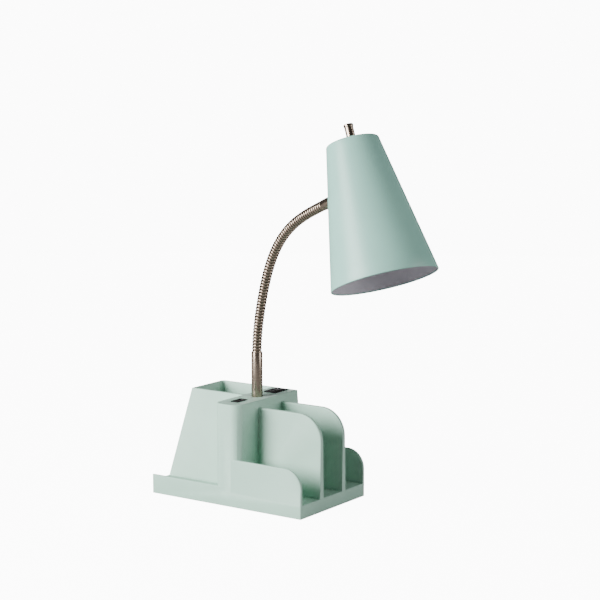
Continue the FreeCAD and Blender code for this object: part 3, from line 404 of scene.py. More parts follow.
def plated_steel(name, colour, roughness=0.36):
    """Zinc plate on pressed steel, slightly mottled."""
    material, tree, shader, place = new_material(name, Metallic=1.0)
    crystals = add(tree, "ShaderNodeTexVoronoi", feature="F1")
    feed(tree, crystals, Vector=place, Scale=900.0)
    mottle = noise(tree, place, 260.0, 3.0, 0.6)
    share = maths(
        tree, "MULTIPLY_ADD", crystals.outputs["Distance"], 0.4, maths(tree, "MULTIPLY", mottle, 0.6))
    base = blend(tree, span(tree, share, 0.25, 0.7), shade_of(colour, 0.86), shade_of(colour, 1.1))
    feed(tree, shader, Base_Color=base)
    rough = span(tree, mottle, 0.3, 0.7, roughness - 0.06, roughness + 0.08)
    feed(tree, shader, Roughness=rough)
    bump(tree, shader, mottle, 0.01 * MM)
    return material


def foam_rubber(name, colour):
    """Closed-cell foam with a fine pebbled skin."""
    material, tree, shader, place = new_material(name, Specular_IOR_Level=0.25, Sheen_Weight=0.12)
    cells = add(tree, "ShaderNodeTexVoronoi", feature="SMOOTH_F1")
    feed(tree, cells, Vector=place, Scale=1100.0)
    slow = noise(tree, place, 40.0, 4.0, 0.6)
    base = blend(tree, span(tree, slow, 0.3, 0.7), shade_of(colour, 0.8), shade_of(colour, 1.4))
    feed(tree, shader, Base_Color=base)
    feed(tree, shader, Roughness=span(tree, cells.outputs["Distance"], 0.0, 0.6, 0.78, 0.95))
    bump(tree, shader, cells.outputs["Distance"], 0.12 * MM)
    return material


def rolled_plate(name, colour):
    """Hot-rolled steel plate with mill scale and rust freckles."""
    material, tree, shader, place = new_material(name)
    scale_marks = noise(tree, place, 60.0, 6.0, 0.65)
    freckles = span(tree, noise(tree, place, 380.0, 5.0, 0.7), 0.60, 0.70)
    base = blend(tree, span(tree, scale_marks, 0.35, 0.65), shade_of(colour, 0.6), shade_of(colour, 1.5))
    feed(tree, shader, Base_Color=blend(tree, freckles, base, (0.16, 0.06, 0.025)))
    feed(tree, shader, Roughness=span(tree, scale_marks, 0.3, 0.7, 0.45, 0.75))
    feed(tree, shader, Metallic=maths(tree, "SUBTRACT", 0.85, freckles))
    bump(tree, shader, scale_marks, 0.10 * MM)
    return material


def circuit_board(name, colour):
    """Solder mask over copper tracks."""
    material, tree, shader, place = new_material(name, Specular_IOR_Level=0.6)
    upright = add(tree, "ShaderNodeMapping", vector_type="POINT")
    upright.inputs["Rotation"].default_value = (0.0, math.radians(90.0), math.radians(90.0))
    tree.links.new(place, upright.inputs["Vector"])
    tracks = add(tree, "ShaderNodeTexBrick", offset=0.37)
    feed(tree, tracks, Vector=upright.outputs["Vector"], Scale=260.0, Mortar_Size=0.05, Mortar_Smooth=0.1)
    mask = tracks.outputs["Fac"]
    base = blend(tree, mask, colour, shade_of(colour, 2.2))
    feed(tree, shader, Base_Color=base)
    feed(tree, shader, Roughness=span(tree, noise(tree, place, 800.0), 0.3, 0.7, 0.22, 0.34))
    bump(tree, shader, mask, 0.03 * MM)
    return material


def smooth_sleeving(name, colour, roughness=0.4):
    """Extruded insulation or tape, with faint lengthwise unevenness."""
    material, tree, shader, place = new_material(name, Specular_IOR_Level=0.5)
    uneven = noise(tree, place, 300.0, 3.0, 0.5)
    base = blend(tree, span(tree, uneven, 0.3, 0.7), shade_of(colour, 0.85), shade_of(colour, 1.12))
    feed(tree, shader, Base_Color=base)
    feed(tree, shader, Roughness=span(tree, uneven, 0.3, 0.7, roughness - 0.06, roughness + 0.08))
    bump(tree, shader, uneven, 0.03 * MM)
    return material


def frosted_diffuser(name, colour):
    """Frosted plastic of the bulb's globe."""
    material, tree, shader, place = new_material(
        name, Subsurface_Weight=0.35, Subsurface_Scale=4.0 * MM, Specular_IOR_Level=0.4)
    frost = noise(tree, place, 1800.0, 3.0, 0.6)
    slow = noise(tree, place, 30.0, 2.0, 0.5)
    base = blend(tree, span(tree, slow, 0.3, 0.7), shade_of(colour, 0.96), colour)
    feed(tree, shader, Base_Color=base)
    feed(tree, shader, Roughness=span(tree, frost, 0.3, 0.7, 0.42, 0.55))
    bump(tree, shader, frost, 0.015 * MM)
    return material


def studio_floor(name, colour, glow):
    """Matt paper sweep, lit through where the camera sees it, and clear from below."""
    material, tree, shader, place = new_material(
        name, Roughness=0.9, Specular_IOR_Level=0.1, Emission_Color=(1.0, 1.0, 1.0, 1.0))
    seen = add(tree, "ShaderNodeLightPath").outputs["Is Camera Ray"]
    feed(tree, shader, Emission_Strength=maths(tree, "MULTIPLY", seen, glow))
    below = add(tree, "ShaderNodeNewGeometry").outputs["Backfacing"]
    feed(tree, shader, Alpha=maths(tree, "SUBTRACT", 1.0, below))
    fibre = noise(tree, place, 900.0, 3.0, 0.6)
    feed(tree, shader, Base_Color=blend(tree, span(tree, fibre, 0.3, 0.7), shade_of(colour, 0.995), colour))
    return material


# Mesh helpers

def make_object(name, mesh):
    made = bpy.data.objects.new(name, mesh)
    bpy.context.scene.collection.objects.link(made)
    return made


def plain_mesh(made):
    """Turns an object with modifiers into a plain mesh object under the same name."""
    bpy.context.view_layer.update()
    graph = bpy.context.evaluated_depsgraph_get()
    mesh = bpy.data.meshes.new_from_object(made.evaluated_get(graph))
    if not mesh.polygons:
        raise RuntimeError(made.name + " came out empty")
    made.modifiers.clear()
    old = made.data
    made.data = mesh
    bpy.data.meshes.remove(old)
    return made


def close_up(mesh, gap=0.002 * MM):
    """Merges doubles and turns every face outwards."""
    sheet = bmesh.new()
    sheet.from_mesh(mesh)
    bmesh.ops.remove_doubles(sheet, verts=sheet.verts, dist=gap)
    bmesh.ops.recalc_face_normals(sheet, faces=sheet.faces)
    sheet.to_mesh(mesh)
    sheet.free()


def smooth_by_angle(mesh, degrees):
    for face in mesh.polygons:
        face.use_smooth = True
    mesh.set_sharp_from_angle(angle=math.radians(degrees))


def dress_node(node, material):
    """Gives a CAD node its finish."""
    slots = frame["nodes"][node].data.materials
    slots.clear()
    slots.append(material)


def softened_copy(name, node, material, width, body, segments=2, limit=38.0):
    """A copy of a CAD node with its sharp edges rounded, which stands for the node."""
    mesh = frame["nodes"][node].data.copy()
    sheet = bmesh.new()
    sheet.from_mesh(mesh)
    bmesh.ops.remove_doubles(sheet, verts=sheet.verts, dist=0.002 * MM)
    bmesh.ops.dissolve_limit(
        sheet, angle_limit=math.radians(0.3), verts=sheet.verts, edges=sheet.edges, delimit={"NORMAL"})
    sheet.to_mesh(mesh)
    sheet.free()
    mesh.materials.clear()
    mesh.materials.append(material)
    if mesh.attributes.get("custom_normal"):
        mesh.attributes.remove(mesh.attributes["custom_normal"])
    made = make_object(name, mesh)
    rounding = made.modifiers.new("Rounded edges", "BEVEL")
    rounding.width = width
    rounding.segments = segments
    rounding.limit_method = "ANGLE"
    rounding.angle_limit = math.radians(limit)
    rounding.use_clamp_overlap = True
    rounding.miter_outer = "MITER_ARC"
    plain_mesh(made)
    smooth_by_angle(made.data, 32.0)
    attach(made, body)
    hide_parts(node)
    return made


def body_of(node):
    return frame["nodes"][node]["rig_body"]


# Geometry node trees

def shape_tree(name, inputs):
    tree = bpy.data.node_groups.new(name, "GeometryNodeTree")
    tree.interface.new_socket(name="Geometry", in_out="INPUT", socket_type="NodeSocketGeometry")
    for label, kind, default in inputs:
        socket = tree.interface.new_socket(name=label, in_out="INPUT", socket_type=kind)
        if default is not None:
            socket.default_value = default
    tree.interface.new_socket(name="Geometry", in_out="OUTPUT", socket_type="NodeSocketGeometry")
    return tree, add(tree, "NodeGroupInput"), add(tree, "NodeGroupOutput")


def run_tree(made, tree, **values):
    """Runs a tree on an object with its inputs set, and leaves a plain mesh."""
    modifier = made.modifiers.new(tree.name, "NODES")
    modifier.node_group = tree
    for item in tree.interface.items_tree:
        if item.item_type == "SOCKET" and item.in_out == "INPUT" and item.name in values:
            modifier[item.identifier] = values[item.name]
    return plain_mesh(made)


def whole_maths(tree, operation, first, second):
    made = add(tree, "FunctionNodeIntegerMath", operation=operation)
    for socket, value in zip(made.inputs, (first, second)):
        if isinstance(value, bpy.types.NodeSocket):
            tree.links.new(value, socket)
        else:
            socket.default_value = value
    return made.outputs[0]


def revolve_nodes(tree, profile, points, rows, segments):
    """Turns a profile's points (radius along X, height along Z) about the Z axis."""
    grid = add(tree, "GeometryNodeMeshGrid")
    columns = whole_maths(tree, "ADD", segments, 1)
    feed(tree, grid, Vertices_X=columns, Vertices_Y=rows)
    index = add(tree, "GeometryNodeInputIndex").outputs[0]
    row = whole_maths(tree, "MODULO", index, rows)
    column = whole_maths(tree, "DIVIDE_FLOOR", index, rows)
    picked = whole_maths(tree, "MODULO", row, points)
    sample = add(tree, "GeometryNodeSampleIndex", data_type="FLOAT_VECTOR")
    tree.links.new(profile, sample.inputs["Geometry"])
    tree.links.new(add(tree, "GeometryNodeInputPosition").outputs[0], sample.inputs["Value"])
    tree.links.new(picked, sample.inputs["Index"])
    around = maths(tree, "MULTIPLY", maths(tree, "DIVIDE", column, segments), 2 * math.pi)
    turn = add(tree, "ShaderNodeVectorRotate", rotation_type="Z_AXIS")
    tree.links.new(sample.outputs["Value"], turn.inputs["Vector"])
    tree.links.new(around, turn.inputs["Angle"])
    placed = add(tree, "GeometryNodeSetPosition")
    tree.links.new(grid.outputs["Mesh"], placed.inputs["Geometry"])
    tree.links.new(turn.outputs["Vector"], placed.inputs["Position"])
    merged = add(tree, "GeometryNodeMergeByDistance")
    tree.links.new(placed.outputs["Geometry"], merged.inputs["Geometry"])
    merged.inputs["Distance"].default_value = 0.001 * MM
    return merged.outputs["Geometry"]


def finish_tree(tree, geometry, material, result):
    realized = add(tree, "GeometryNodeRealizeInstances")
    tree.links.new(geometry, realized.inputs["Geometry"])
    painted = add(tree, "GeometryNodeSetMaterial")
    tree.links.new(realized.outputs["Geometry"], painted.inputs["Geometry"])
    tree.links.new(material, painted.inputs["Material"])
    tree.links.new(painted.outputs["Geometry"], result.inputs["Geometry"])


def turned_tree():
    """Revolves the object's own profile points."""
    tree, source, result = shape_tree("Turned shell", [
        ("Points", "NodeSocketInt", 2), ("Rows", "NodeSocketInt", 2), ("Segments", "NodeSocketInt", 96),
        ("Finish", "NodeSocketMaterial", None)])
    out = source.outputs
    shell = revolve_nodes(tree, out["Geometry"], out["Points"], out["Rows"], out["Segments"])
    finish_tree(tree, shell, out["Finish"], result)
    return tree


def ribbed_tree():
    """Rounded ribs square to a path, evenly spaced from its first point to its last."""
    tree, source, result = shape_tree("Ribbed hose", [
        ("Ribs", "NodeSocketInt", 4), ("Centre radius", "NodeSocketFloat", 4.8 * MM),
        ("Half height", "NodeSocketFloat", 0.8 * MM), ("Half width", "NodeSocketFloat", 1.5 * MM),
        ("Section points", "NodeSocketInt", 14), ("Segments", "NodeSocketInt", 56),
        ("Finish", "NodeSocketMaterial", None)])
    out = source.outputs
    section = add(tree, "GeometryNodeMeshCircle", fill_type="NONE")
    feed(tree, section, Vertices=out["Section points"], Radius=1.0)
    place = add(tree, "ShaderNodeSeparateXYZ")
    tree.links.new(add(tree, "GeometryNodeInputPosition").outputs[0], place.inputs[0])
    stretched = add(tree, "ShaderNodeCombineXYZ")
    radial = maths(tree, "MULTIPLY_ADD", place.outputs["X"], out["Half height"], out["Centre radius"])
    tree.links.new(radial, stretched.inputs["X"])
    tree.links.new(maths(tree, "MULTIPLY", place.outputs["Y"], out["Half width"]), stretched.inputs["Z"])
    profile = add(tree, "GeometryNodeSetPosition")
    tree.links.new(section.outputs["Mesh"], profile.inputs["Geometry"])
    tree.links.new(stretched.outputs["Vector"], profile.inputs["Position"])
    rows = whole_maths(tree, "ADD", out["Section points"], 1)
    bead = revolve_nodes(tree, profile.outputs["Geometry"], out["Section points"], rows, out["Segments"])
    path = add(tree, "GeometryNodeMeshToCurve")
    tree.links.new(out["Geometry"], path.inputs["Mesh"])
    even = add(tree, "GeometryNodeResampleCurve")
    tree.links.new(path.outputs["Curve"], even.inputs["Curve"])
    tree.links.new(out["Ribs"], even.inputs["Count"])
    facing = add(tree, "FunctionNodeAlignRotationToVector", axis="Z")
    tree.links.new(add(tree, "GeometryNodeInputTangent").outputs[0], facing.inputs["Vector"])
    ribs = add(tree, "GeometryNodeInstanceOnPoints")
    tree.links.new(even.outputs["Curve"], ribs.inputs["Points"])
    tree.links.new(bead, ribs.inputs["Instance"])
    tree.links.new(facing.outputs["Rotation"], ribs.inputs["Rotation"])
    finish_tree(tree, ribs.outputs["Instances"], out["Finish"], result)
    return tree


def screw_tree():
    """Cross-slotted countersunk heads on short shanks, one on each point, looking down."""
    tree, source, result = shape_tree("Countersunk screws", [
        ("Head radius", "NodeSocketFloat", 3.0 * MM), ("Head height", "NodeSocketFloat", 1.6 * MM),
        ("Shank radius", "NodeSocketFloat", 1.5 * MM), ("Length", "NodeSocketFloat", 10.0 * MM),
        ("Slot width", "NodeSocketFloat", 0.8 * MM), ("Slot depth", "NodeSocketFloat", 1.0 * MM),
        ("Finish", "NodeSocketMaterial", None)])
    out = source.outputs
    head = add(tree, "GeometryNodeMeshCone")
    feed(tree, head, Vertices=32, Radius_Top=out["Shank radius"], Radius_Bottom=out["Head radius"],
         Depth=out["Head height"])
    shank = add(tree, "GeometryNodeMeshCylinder")
    feed(tree, shank, Vertices=32, Radius=out["Shank radius"], Depth=out["Length"])
    raised = add(tree, "GeometryNodeTransform")
    tree.links.new(shank.outputs["Mesh"], raised.inputs["Geometry"])
    lift = add(tree, "ShaderNodeCombineXYZ")
    tree.links.new(maths(tree, "MULTIPLY", out["Length"], 0.5), lift.inputs["Z"])
    tree.links.new(lift.outputs["Vector"], raised.inputs["Translation"])
    whole = add(tree, "GeometryNodeMeshBoolean", operation="UNION")
    tree.links.new(head.outputs["Mesh"], whole.inputs["Mesh 2"])
    tree.links.new(raised.outputs["Geometry"], whole.inputs["Mesh 2"])
    cut = add(tree, "GeometryNodeMeshBoolean", operation="DIFFERENCE")
    tree.links.new(whole.outputs["Mesh"], cut.inputs["Mesh 1"])
    reach = maths(tree, "MULTIPLY", out["Head radius"], 1.3)
    depth = maths(tree, "MULTIPLY", out["Slot depth"], 2.0)
    for sides in ((reach, out["Slot width"]), (out["Slot width"], reach)):
        size = add(tree, "ShaderNodeCombineXYZ")
        for axis, value in zip("XYZ", (*sides, depth)):
            tree.links.new(value, size.inputs[axis])
        bar = add(tree, "GeometryNodeMeshCube")
        tree.links.new(size.outputs["Vector"], bar.inputs["Size"])
        tree.links.new(bar.outputs["Mesh"], cut.inputs["Mesh 2"])
    screws = add(tree, "GeometryNodeInstanceOnPoints")
    tree.links.new(out["Geometry"], screws.inputs["Points"])
    tree.links.new(cut.outputs["Mesh"], screws.inputs["Instance"])
    finish_tree(tree, screws.outputs["Instances"], out["Finish"], result)
    return tree


# Neck path, read from the joints of the frame

def neck_pivots():
    """Centres of the neck's joints in order, from the base to the head."""
    chain = []
    parent = body_of(NECK_LINKS[0])
    by_parent = {joint["parent"]: joint for joint in frame["joints"] if "link" in joint["child"]
                 or joint["parent"].startswith("link")}
    while parent in by_parent:
        joint = by_parent[parent]
        chain.append(Vector(joint["pos_m"]))
        parent = joint["child"]
    return chain


def neck_knots():
    """The joints' centres, with the foot of the first length before them."""
    pivots = neck_pivots()
    low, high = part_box("base_fitting")
    foot = Vector(((low.x + high.x) / 2, (low.y + high.y) / 2, high.z))
    return [foot] + pivots


def neck_tangents(knots):
    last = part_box("head_sleeve")
    beyond = (last[0] + last[1]) / 2
    points = knots + [beyond]
    tangents = [Vector((0, 0, 1))]
    for before, here, after in zip(points, points[1:], points[2:]):
        tangents.append(((here - before).normalized() + (after - here).normalized()).normalized())
    return tangents


def along(start, end, start_direction, end_direction, share):
    """A point on the smooth curve between two knots."""
    reach = (end - start).length
    s2 = share * share
    s3 = s2 * share
    return (start * (2 * s3 - 3 * s2 + 1) + start_direction * reach * (s3 - 2 * s2 + share)
            + end * (3 * s2 - 2 * s3) + end_direction * reach * (s3 - s2))


# Operators: one for each piece or group of like pieces, and one for the stage

class LAMP_OT_moulding(bpy.types.Operator):
    """Round the organizer's edges and give it its moulded finish"""

    bl_idname = "desk_lamp.moulding"
    bl_label = "Organizer moulding"

    def execute(self, context):
        look = context.scene.organizer
        plastic = moulded_plastic("Mint moulded plastic", look.plastic, look.roughness, look.grain)
        softened_copy("organizer_moulding", "organizer_body", plastic, look.edge, body_of("organizer_body"))
        return {"FINISHED"}


class LAMP_OT_underside(bpy.types.Operator):
    """Finish the cover, pad, ballast and screws under the base"""

    bl_idname = "desk_lamp.underside"
    bl_label = "Underside"

    def execute(self, context):
        look = context.scene.organizer
        dress_node("bottom_cover", moulded_plastic(
            "Cover plastic", (0.06, 0.065, 0.062), 0.55, look.grain, wear=0.15, dust=0.0))
        dress_node("base_pad", foam_rubber("Foam pad", (0.018, 0.018, 0.018)))
        dress_node("ballast_plate", rolled_plate("Ballast plate", (0.10, 0.10, 0.105)))
        dress_node("ballast_screws", plated_steel("Ballast screw plating", (0.62, 0.61, 0.58)))
        low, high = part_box("cover_screws")
        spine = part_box("usb_bezel")
        columns = (low.x + look.screw_head, (spine[0].x + spine[1].x) / 2, high.x - look.screw_head)
        rows = (low.y + look.screw_head, high.y - look.screw_head)
        places = [(x, y, low.z) for x in columns for y in rows]
        mesh = bpy.data.meshes.new("cover_screw_points")
        mesh.from_pydata(places, [], [])
        screws = make_object("cover_screw_set", mesh)
        plating = plated_steel("Cover screw plating", (0.60, 0.59, 0.56))
        run_tree(screws, screw_tree(), **{"Head radius": look.screw_head, "Finish": plating})
        smooth_by_angle(screws.data, 35.0)
        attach(screws, body_of("cover_screws"))
        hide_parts("cover_screws")
        return {"FINISHED"}


class LAMP_OT_ports(bpy.types.Operator):
    """Finish the charging port, the mains outlet and what is behind them"""

    bl_idname = "desk_lamp.ports"
    bl_label = "Port and outlet"

    def execute(self, context):
        look = context.scene.organizer
        satin = moulded_plastic(
            "Black satin plastic", look.black, 0.52, look.grain, scale=2200.0, wear=0.1, dust=0.0,
            specular=0.08)
        body = body_of("usb_bezel")
        softened_copy("usb_bezel_trim", "usb_bezel", satin, look.trim_edge, body)
        softened_copy("outlet_face_trim", "outlet_face", satin, look.trim_edge, body)
        softened_copy("inlet_bush_trim", "cord_inlet_bush", satin, look.trim_edge, body)
        dress_node("outlet_body", satin)
        # The port's tin-plated shell is darkened to near black: painted shade inside the port
        dress_node("usb_shell", plated_steel("Tin plate", (0.20, 0.20, 0.20), 0.34))
        dress_node("usb_tongue", smooth_sleeving("Port tongue", (0.60, 0.60, 0.58), 0.35))
        gold = plated_steel("Gold flash", (0.80, 0.58, 0.24), 0.25)
        dress_node("usb_contacts", gold)
        dress_node("outlet_contacts", plated_steel("Contact brass", (0.72, 0.53, 0.25), 0.30))
        dress_node("charger_board", circuit_board("Solder mask", (0.010, 0.095, 0.040)))
        dress_node("charger_screws", plated_steel("Small screw plating", (0.62, 0.61, 0.58)))
        dress_node("charger_transformer", smooth_sleeving("Winding tape", (0.62, 0.42, 0.05), 0.38))
        dress_node("charger_capacitors", smooth_sleeving("Capacitor sleeve", (0.02, 0.03, 0.11), 0.30))
        dress_node("base_wires", smooth_sleeving("Black sleeving", (0.018, 0.018, 0.018), 0.45))
        return {"FINISHED"}


class LAMP_OT_post(bpy.types.Operator):
    """Finish the lower sleeve and the fixings that hold the lamp on the base"""

    bl_idname = "desk_lamp.post"
    bl_label = "Lamp post"

    def execute(self, context):
        look = context.scene.neck
        nickel = turned_metal("Nickel, upright", look.nickel, 0.24)
        softened_copy("base_sleeve_tube", "base_sleeve", nickel, look.edge, body_of("base_sleeve"))
        steel = plated_steel("Fixing plating", (0.62, 0.61, 0.57))
        for node in ("base_fitting", "base_washer", "base_lock_washer", "base_nut"):
            dress_node(node, steel)
        return {"FINISHED"}


class LAMP_OT_neck(bpy.types.Operator):
    """Lay rounded ribs along each length of the flexible neck"""

    bl_idname = "desk_lamp.neck"
    bl_label = "Ribbed neck"

    def execute(self, context):
        look = context.scene.neck
        knots = neck_knots()
        tangents = neck_tangents(knots)
        if len(knots) != len(NECK_LINKS) + 1:
            raise RuntimeError("the neck has %d joints for %d lengths" % (len(knots) - 1, len(NECK_LINKS)))
        tree = ribbed_tree()
        # The neck's cores show between the ribs at half the nickel's brightness: painted shade in the
        # grooves. The ribs keep the full nickel colour.
        groove_painted_shade = turned_metal("Nickel, in the grooves", shade_of(look.nickel, 0.50), 0.34)
        steps = 12
        first = 0.5 / look.beads
        for number, node in enumerate(NECK_LINKS):
            start, end = knots[number], knots[number + 1]
            direction = (end - start).normalized()
            points = [
                along(start, end, tangents[number], tangents[number + 1],
                      first + (1 - 2 * first) * step / steps)
                for step in range(steps + 1)
            ]
            mesh = bpy.data.meshes.new("neck_path")
            mesh.from_pydata(points, [(step, step + 1) for step in range(steps)], [])
            made = make_object("neck_ribs_%02d" % (number + 1), mesh)
            bright = turned_metal(
                "Nickel rib %02d" % (number + 1), look.nickel, 0.30, direction, streak=0.06)
            run_tree(made, tree, **{
                "Ribs": look.beads, "Centre radius": look.bead_centre, "Half height": look.bead_height,
                "Half width": look.bead_width, "Finish": bright})
            close_up(made.data)
            smooth_by_angle(made.data, 80.0)
            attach(made, body_of(node))
            dress_node(node, groove_painted_shade)
        return {"FINISHED"}


class LAMP_OT_shade(bpy.types.Operator):
    """Turn the shade from its profile, painted outside and lined inside"""

    bl_idname = "desk_lamp.shade"
    bl_label = "Shade"

    def execute(self, context):
        look = context.scene.shade
        top, axis = shade_axis()
        profile, lined_from = shade_profile(look)
        mesh = bpy.data.meshes.new("shade_profile")
        mesh.from_pydata([(radius, 0.0, height) for radius, height in profile], [], [])
        made = make_object("shade_shell", mesh)
        paint = painted_sheet("Mint shade paint", look.paint, 0.38)
        # White lining paint darkened to lilac grey: painted shade of the shade's inside
        lining_painted_shade = painted_sheet("White shade lining", look.lining_painted_shade, 0.55)
        run_tree(made, turned_tree(), Points=len(profile), Rows=len(profile) + 1, Segments=look.segments,
                 Finish=paint)
        close_up(made.data)
        made.data.materials.clear()
        made.data.materials.append(paint)
        made.data.materials.append(lining_painted_shade)
        for face in made.data.polygons:
            middle = face.center
            outward = face.normal.x * middle.x + face.normal.y * middle.y
            inside = outward < 0 or (face.normal.z < -0.9 and middle.z > -look.length / 2)
            face.material_index = 1 if inside and middle.z > -look.length + lined_from else 0
        turn = axis.to_track_quat("Z", "Y").to_matrix().to_4x4()
        made.data.transform(Matrix.Translation(top) @ turn)
        smooth_by_angle(made.data, 40.0)
        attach(made, body_of("shade"))
        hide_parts("shade")
        return {"FINISHED"}


def shade_axis():
    """The middle of the shade's top, and the unit vector along its axis, away from the mouth."""
    turn = [joint for joint in frame["joints"] if joint["name"] == "knob_turn"][0]
    return Vector(turn["pos_m"]), Vector(turn["axis"]).normalized()


def shade_profile(look):
    """Points (radius, height) from the bore, down the outside, round the hem and up the inside."""
    slope = (look.mouth_radius - look.top_radius) / look.length
    lean = math.atan(slope)
    profile = [(look.bore, 0.0)]
    turned = math.pi / 2 - lean
    steps = 8
    setback = look.shoulder * math.tan(turned / 2)
    for step in range(steps + 1):
        angle = turned * step / steps
        profile.append((look.top_radius - setback + look.shoulder * math.sin(angle),
                        -look.shoulder * (1 - math.cos(angle))))
    hem_z = -look.length + look.hem
    wall_radius = look.top_radius - slope * hem_z
    down_steps = 12
    start_radius, start_z = profile[-1]
    for step in range(1, down_steps + 1):
        share = step / down_steps
        profile.append((start_radius + (wall_radius - start_radius) * share,
                        start_z + (hem_z - start_z) * share))
    centre_radius = wall_radius - look.hem
    hem_steps = 10
    for step in range(1, hem_steps + 1):
        angle = math.pi * 1.25 * step / hem_steps
        profile.append((centre_radius + look.hem * math.cos(angle), hem_z - look.hem * math.sin(angle)))
    inner_low = hem_z + 2 * look.hem
    for step in range(down_steps + 1):
        share = step / down_steps
        height = inner_low + (-look.shoulder - inner_low) * share
        profile.append((look.top_radius - look.skin - slope * height, height))
    profile.append((look.top_radius - look.shoulder, -look.skin))
    profile.append((look.bore, -look.skin))
    return profile, 2 * look.hem


class LAMP_OT_head(bpy.types.Operator):
    """Finish the sleeve, saddles and nut that join the neck to the shade"""

    bl_idname = "desk_lamp.head"
    bl_label = "Head joint"

    def execute(self, context):
        look = context.scene.neck
        pivots = neck_pivots()
        low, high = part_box("head_sleeve")
        direction = ((low + high) / 2 - pivots[-1]).normalized()
        nickel = turned_metal("Nickel, along the head sleeve", look.nickel, 0.24, direction)
        softened_copy("head_sleeve_tube", "head_sleeve", nickel, look.edge, body_of("head_sleeve"))
        softened_copy("neck_saddle_ring", "neck_saddle", nickel, look.edge, body_of("neck_saddle"))
        steel = plated_steel("Head fixing plating", (0.62, 0.61, 0.57))
        for node in ("head_fitting", "inner_saddle", "head_washer", "head_nut"):
            dress_node(node, steel)
        return {"FINISHED"}


class LAMP_OT_switch(bpy.types.Operator):
    """Finish the knob, its nut and the switch below them"""

    bl_idname = "desk_lamp.switch"
    bl_label = "Switch and knob"

    def execute(self, context):
        look = context.scene.neck
        axis = shade_axis()[1]
        nickel = turned_metal("Nickel, about the knob", look.nickel, 0.22, axis)
        body = body_of("switch_knob")
        softened_copy("switch_knob_turned", "switch_knob", nickel, 0.25 * MM, body, segments=3)
        softened_copy("ring_nut_turned", "ring_nut", nickel, look.edge, body_of("ring_nut"))
        dress_node("switch_bushing", nickel)
        dress_node("switch_shaft", turned_metal("Shaft steel", (0.60, 0.59, 0.57), 0.26, axis))
        dress_node("switch_housing", moulded_plastic(
            "Switch casing", (0.015, 0.015, 0.015), 0.42, 0.02 * MM, wear=0.1, dust=0.0))
        dress_node("head_wires", smooth_sleeving("White sleeving", (0.68, 0.68, 0.65), 0.42))
        return {"FINISHED"}


class LAMP_OT_bulb(bpy.types.Operator):
    """Finish the lampholder and the bulb"""

    bl_idname = "desk_lamp.bulb"
    bl_label = "Lampholder and bulb"

    def execute(self, context):
        axis = shade_axis()[1]
        dress_node("lampholder_shell", moulded_plastic(
            "Lampholder plastic", (0.66, 0.64, 0.58), 0.45, 0.02 * MM, wear=0.1, dust=0.0))
        brass = plated_steel("Holder brass", (0.74, 0.55, 0.26), 0.28)
        dress_node("socket_screw_shell", brass)
        dress_node("socket_tip_spring", brass)
        dress_node("bulb_cap", turned_metal("Cap metal", (0.62, 0.62, 0.62), 0.30, axis))
        dress_node("bulb_tip", smooth_sleeving("Black glass tip", (0.012, 0.012, 0.012), 0.25))
        dress_node("bulb_neck", moulded_plastic(
            "Bulb housing", (0.74, 0.74, 0.72), 0.36, 0.015 * MM, wear=0.0, dust=0.0))
        dress_node("bulb_globe", frosted_diffuser("Frosted globe", (0.86, 0.86, 0.83)))
        return {"FINISHED"}


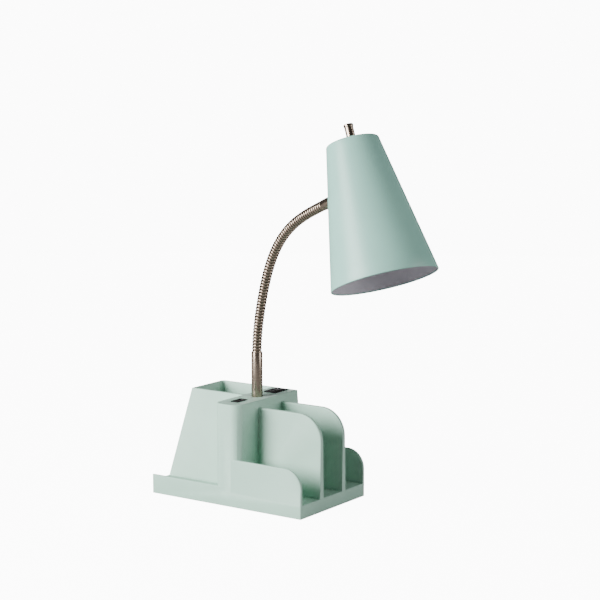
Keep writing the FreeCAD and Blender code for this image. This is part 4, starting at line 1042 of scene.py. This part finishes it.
class LAMP_OT_stage(bpy.types.Operator):
    """Set up the pale floor, the soft lights and the camera"""

    bl_idname = "desk_lamp.stage"
    bl_label = "Stage"

    def execute(self, context):
        look = context.scene.stage
        self.sweep(look)
        self.camera(context, look)
        self.lights(look)
        return {"FINISHED"}

    def sweep(self, look):
        # A paper sweep: floor, curved corner and wall, square to the camera's azimuth
        ahead = Vector((-math.sin(look.azimuth), math.cos(look.azimuth), 0))
        side = Vector((math.cos(look.azimuth), math.sin(look.azimuth), 0))
        near, run, bend, rise, half = -5.0, 2.6, 1.2, 4.0, 6.0
        outline = [(near, 0.0), (run, 0.0)]
        steps = 16
        for step in range(1, steps + 1):
            angle = math.pi / 2 * step / steps
            outline.append((run + bend * math.sin(angle), bend * (1 - math.cos(angle))))
        outline.append((run + bend, rise))
        points = []
        for forward, height in outline:
            for hand in (-half, half):
                points.append(ahead * forward + side * hand + Vector((0, 0, height)))
        faces = [(2 * step, 2 * step + 1, 2 * step + 3, 2 * step + 2) for step in range(len(outline) - 1)]
        mesh = bpy.data.meshes.new("paper_sweep")
        mesh.from_pydata(points, [], faces)
        mesh.materials.append(studio_floor("Paper sweep", look.floor, look.glow))
        smooth_by_angle(mesh, 60.0)
        make_object("paper_sweep", mesh)

    def camera(self, context, look):
        right = Vector((math.cos(look.azimuth), math.sin(look.azimuth), 0))
        back = Vector((math.sin(look.azimuth) * math.cos(look.elevation),
                       -math.cos(look.azimuth) * math.cos(look.elevation), math.sin(look.elevation)))
        above = back.cross(right)
        data = bpy.data.cameras.new("photo_camera")
        data.lens = look.lens
        data.clip_end = 30.0
        made = bpy.data.objects.new("photo_camera", data)
        place = right * look.shift_right + above * look.shift_up + back * look.distance
        turn = Matrix((right, above, back)).transposed().to_4x4()
        made.matrix_world = Matrix.Translation(place + Vector((0, 0, look.lift))) @ turn
        context.scene.collection.objects.link(made)
        context.scene.camera = made

    def lights(self, look):
        for name, place, size, setting in LIGHTS:
            self.area(name, Vector(place), Vector(LIGHT_AIM), size, getattr(look, setting))
        world = bpy.data.worlds.new("pale_surround")
        world.use_nodes = True
        tree = world.node_tree
        background = tree.nodes["Background"]
        background.inputs["Color"].default_value = (1.0, 1.0, 1.0, 1.0)
        seen = add(tree, "ShaderNodeLightPath").outputs["Is Camera Ray"]
        feed(tree, background, Strength=maths(tree, "MULTIPLY_ADD", seen, look.glow, look.sky))
        bpy.context.scene.world = world

    def area(self, name, place, aim, size, power):
        data = bpy.data.lights.new(name, "AREA")
        data.shape = "DISK"
        data.size = size
        data.energy = power
        made = bpy.data.objects.new(name, data)
        made.location = place
        made.rotation_mode = "QUATERNION"
        made.rotation_quaternion = (aim - place).to_track_quat("-Z", "Y")
        bpy.context.scene.collection.objects.link(made)


OPERATORS = (
    LAMP_OT_moulding, LAMP_OT_underside, LAMP_OT_ports, LAMP_OT_post, LAMP_OT_neck, LAMP_OT_shade,
    LAMP_OT_head, LAMP_OT_switch, LAMP_OT_bulb, LAMP_OT_stage,
)


class LAMP_PT_panel(bpy.types.Panel):
    """Lists the steps that dress the lamp"""

    bl_idname = "LAMP_PT_panel"
    bl_label = "Desk Lamp"
    bl_space_type = "VIEW_3D"
    bl_region_type = "UI"
    bl_category = "Desk Lamp"

    def draw(self, context):
        for group in ("organizer", "neck", "shade", "stage"):
            settings = getattr(context.scene, group)
            box = self.layout.box()
            for key in type(settings).__annotations__:
                box.prop(settings, key)
        for operator in OPERATORS:
            self.layout.operator(operator.bl_idname)


CLASSES = (OrganizerSettings, NeckSettings, ShadeSettings, StageSettings, *OPERATORS, LAMP_PT_panel)


def register():
    for made in CLASSES:
        bpy.utils.register_class(made)
    bpy.types.Scene.organizer = PointerProperty(type=OrganizerSettings)
    bpy.types.Scene.neck = PointerProperty(type=NeckSettings)
    bpy.types.Scene.shade = PointerProperty(type=ShadeSettings)
    bpy.types.Scene.stage = PointerProperty(type=StageSettings)


def unregister():
    for group in ("organizer", "neck", "shade", "stage"):
        delattr(bpy.types.Scene, group)
    for made in reversed(CLASSES):
        bpy.utils.unregister_class(made)


def main():
    register()
    for operator in OPERATORS:
        family, name = operator.bl_idname.split(".")
        getattr(getattr(bpy.ops, family), name)()


if __name__ == "__main__":
    main()
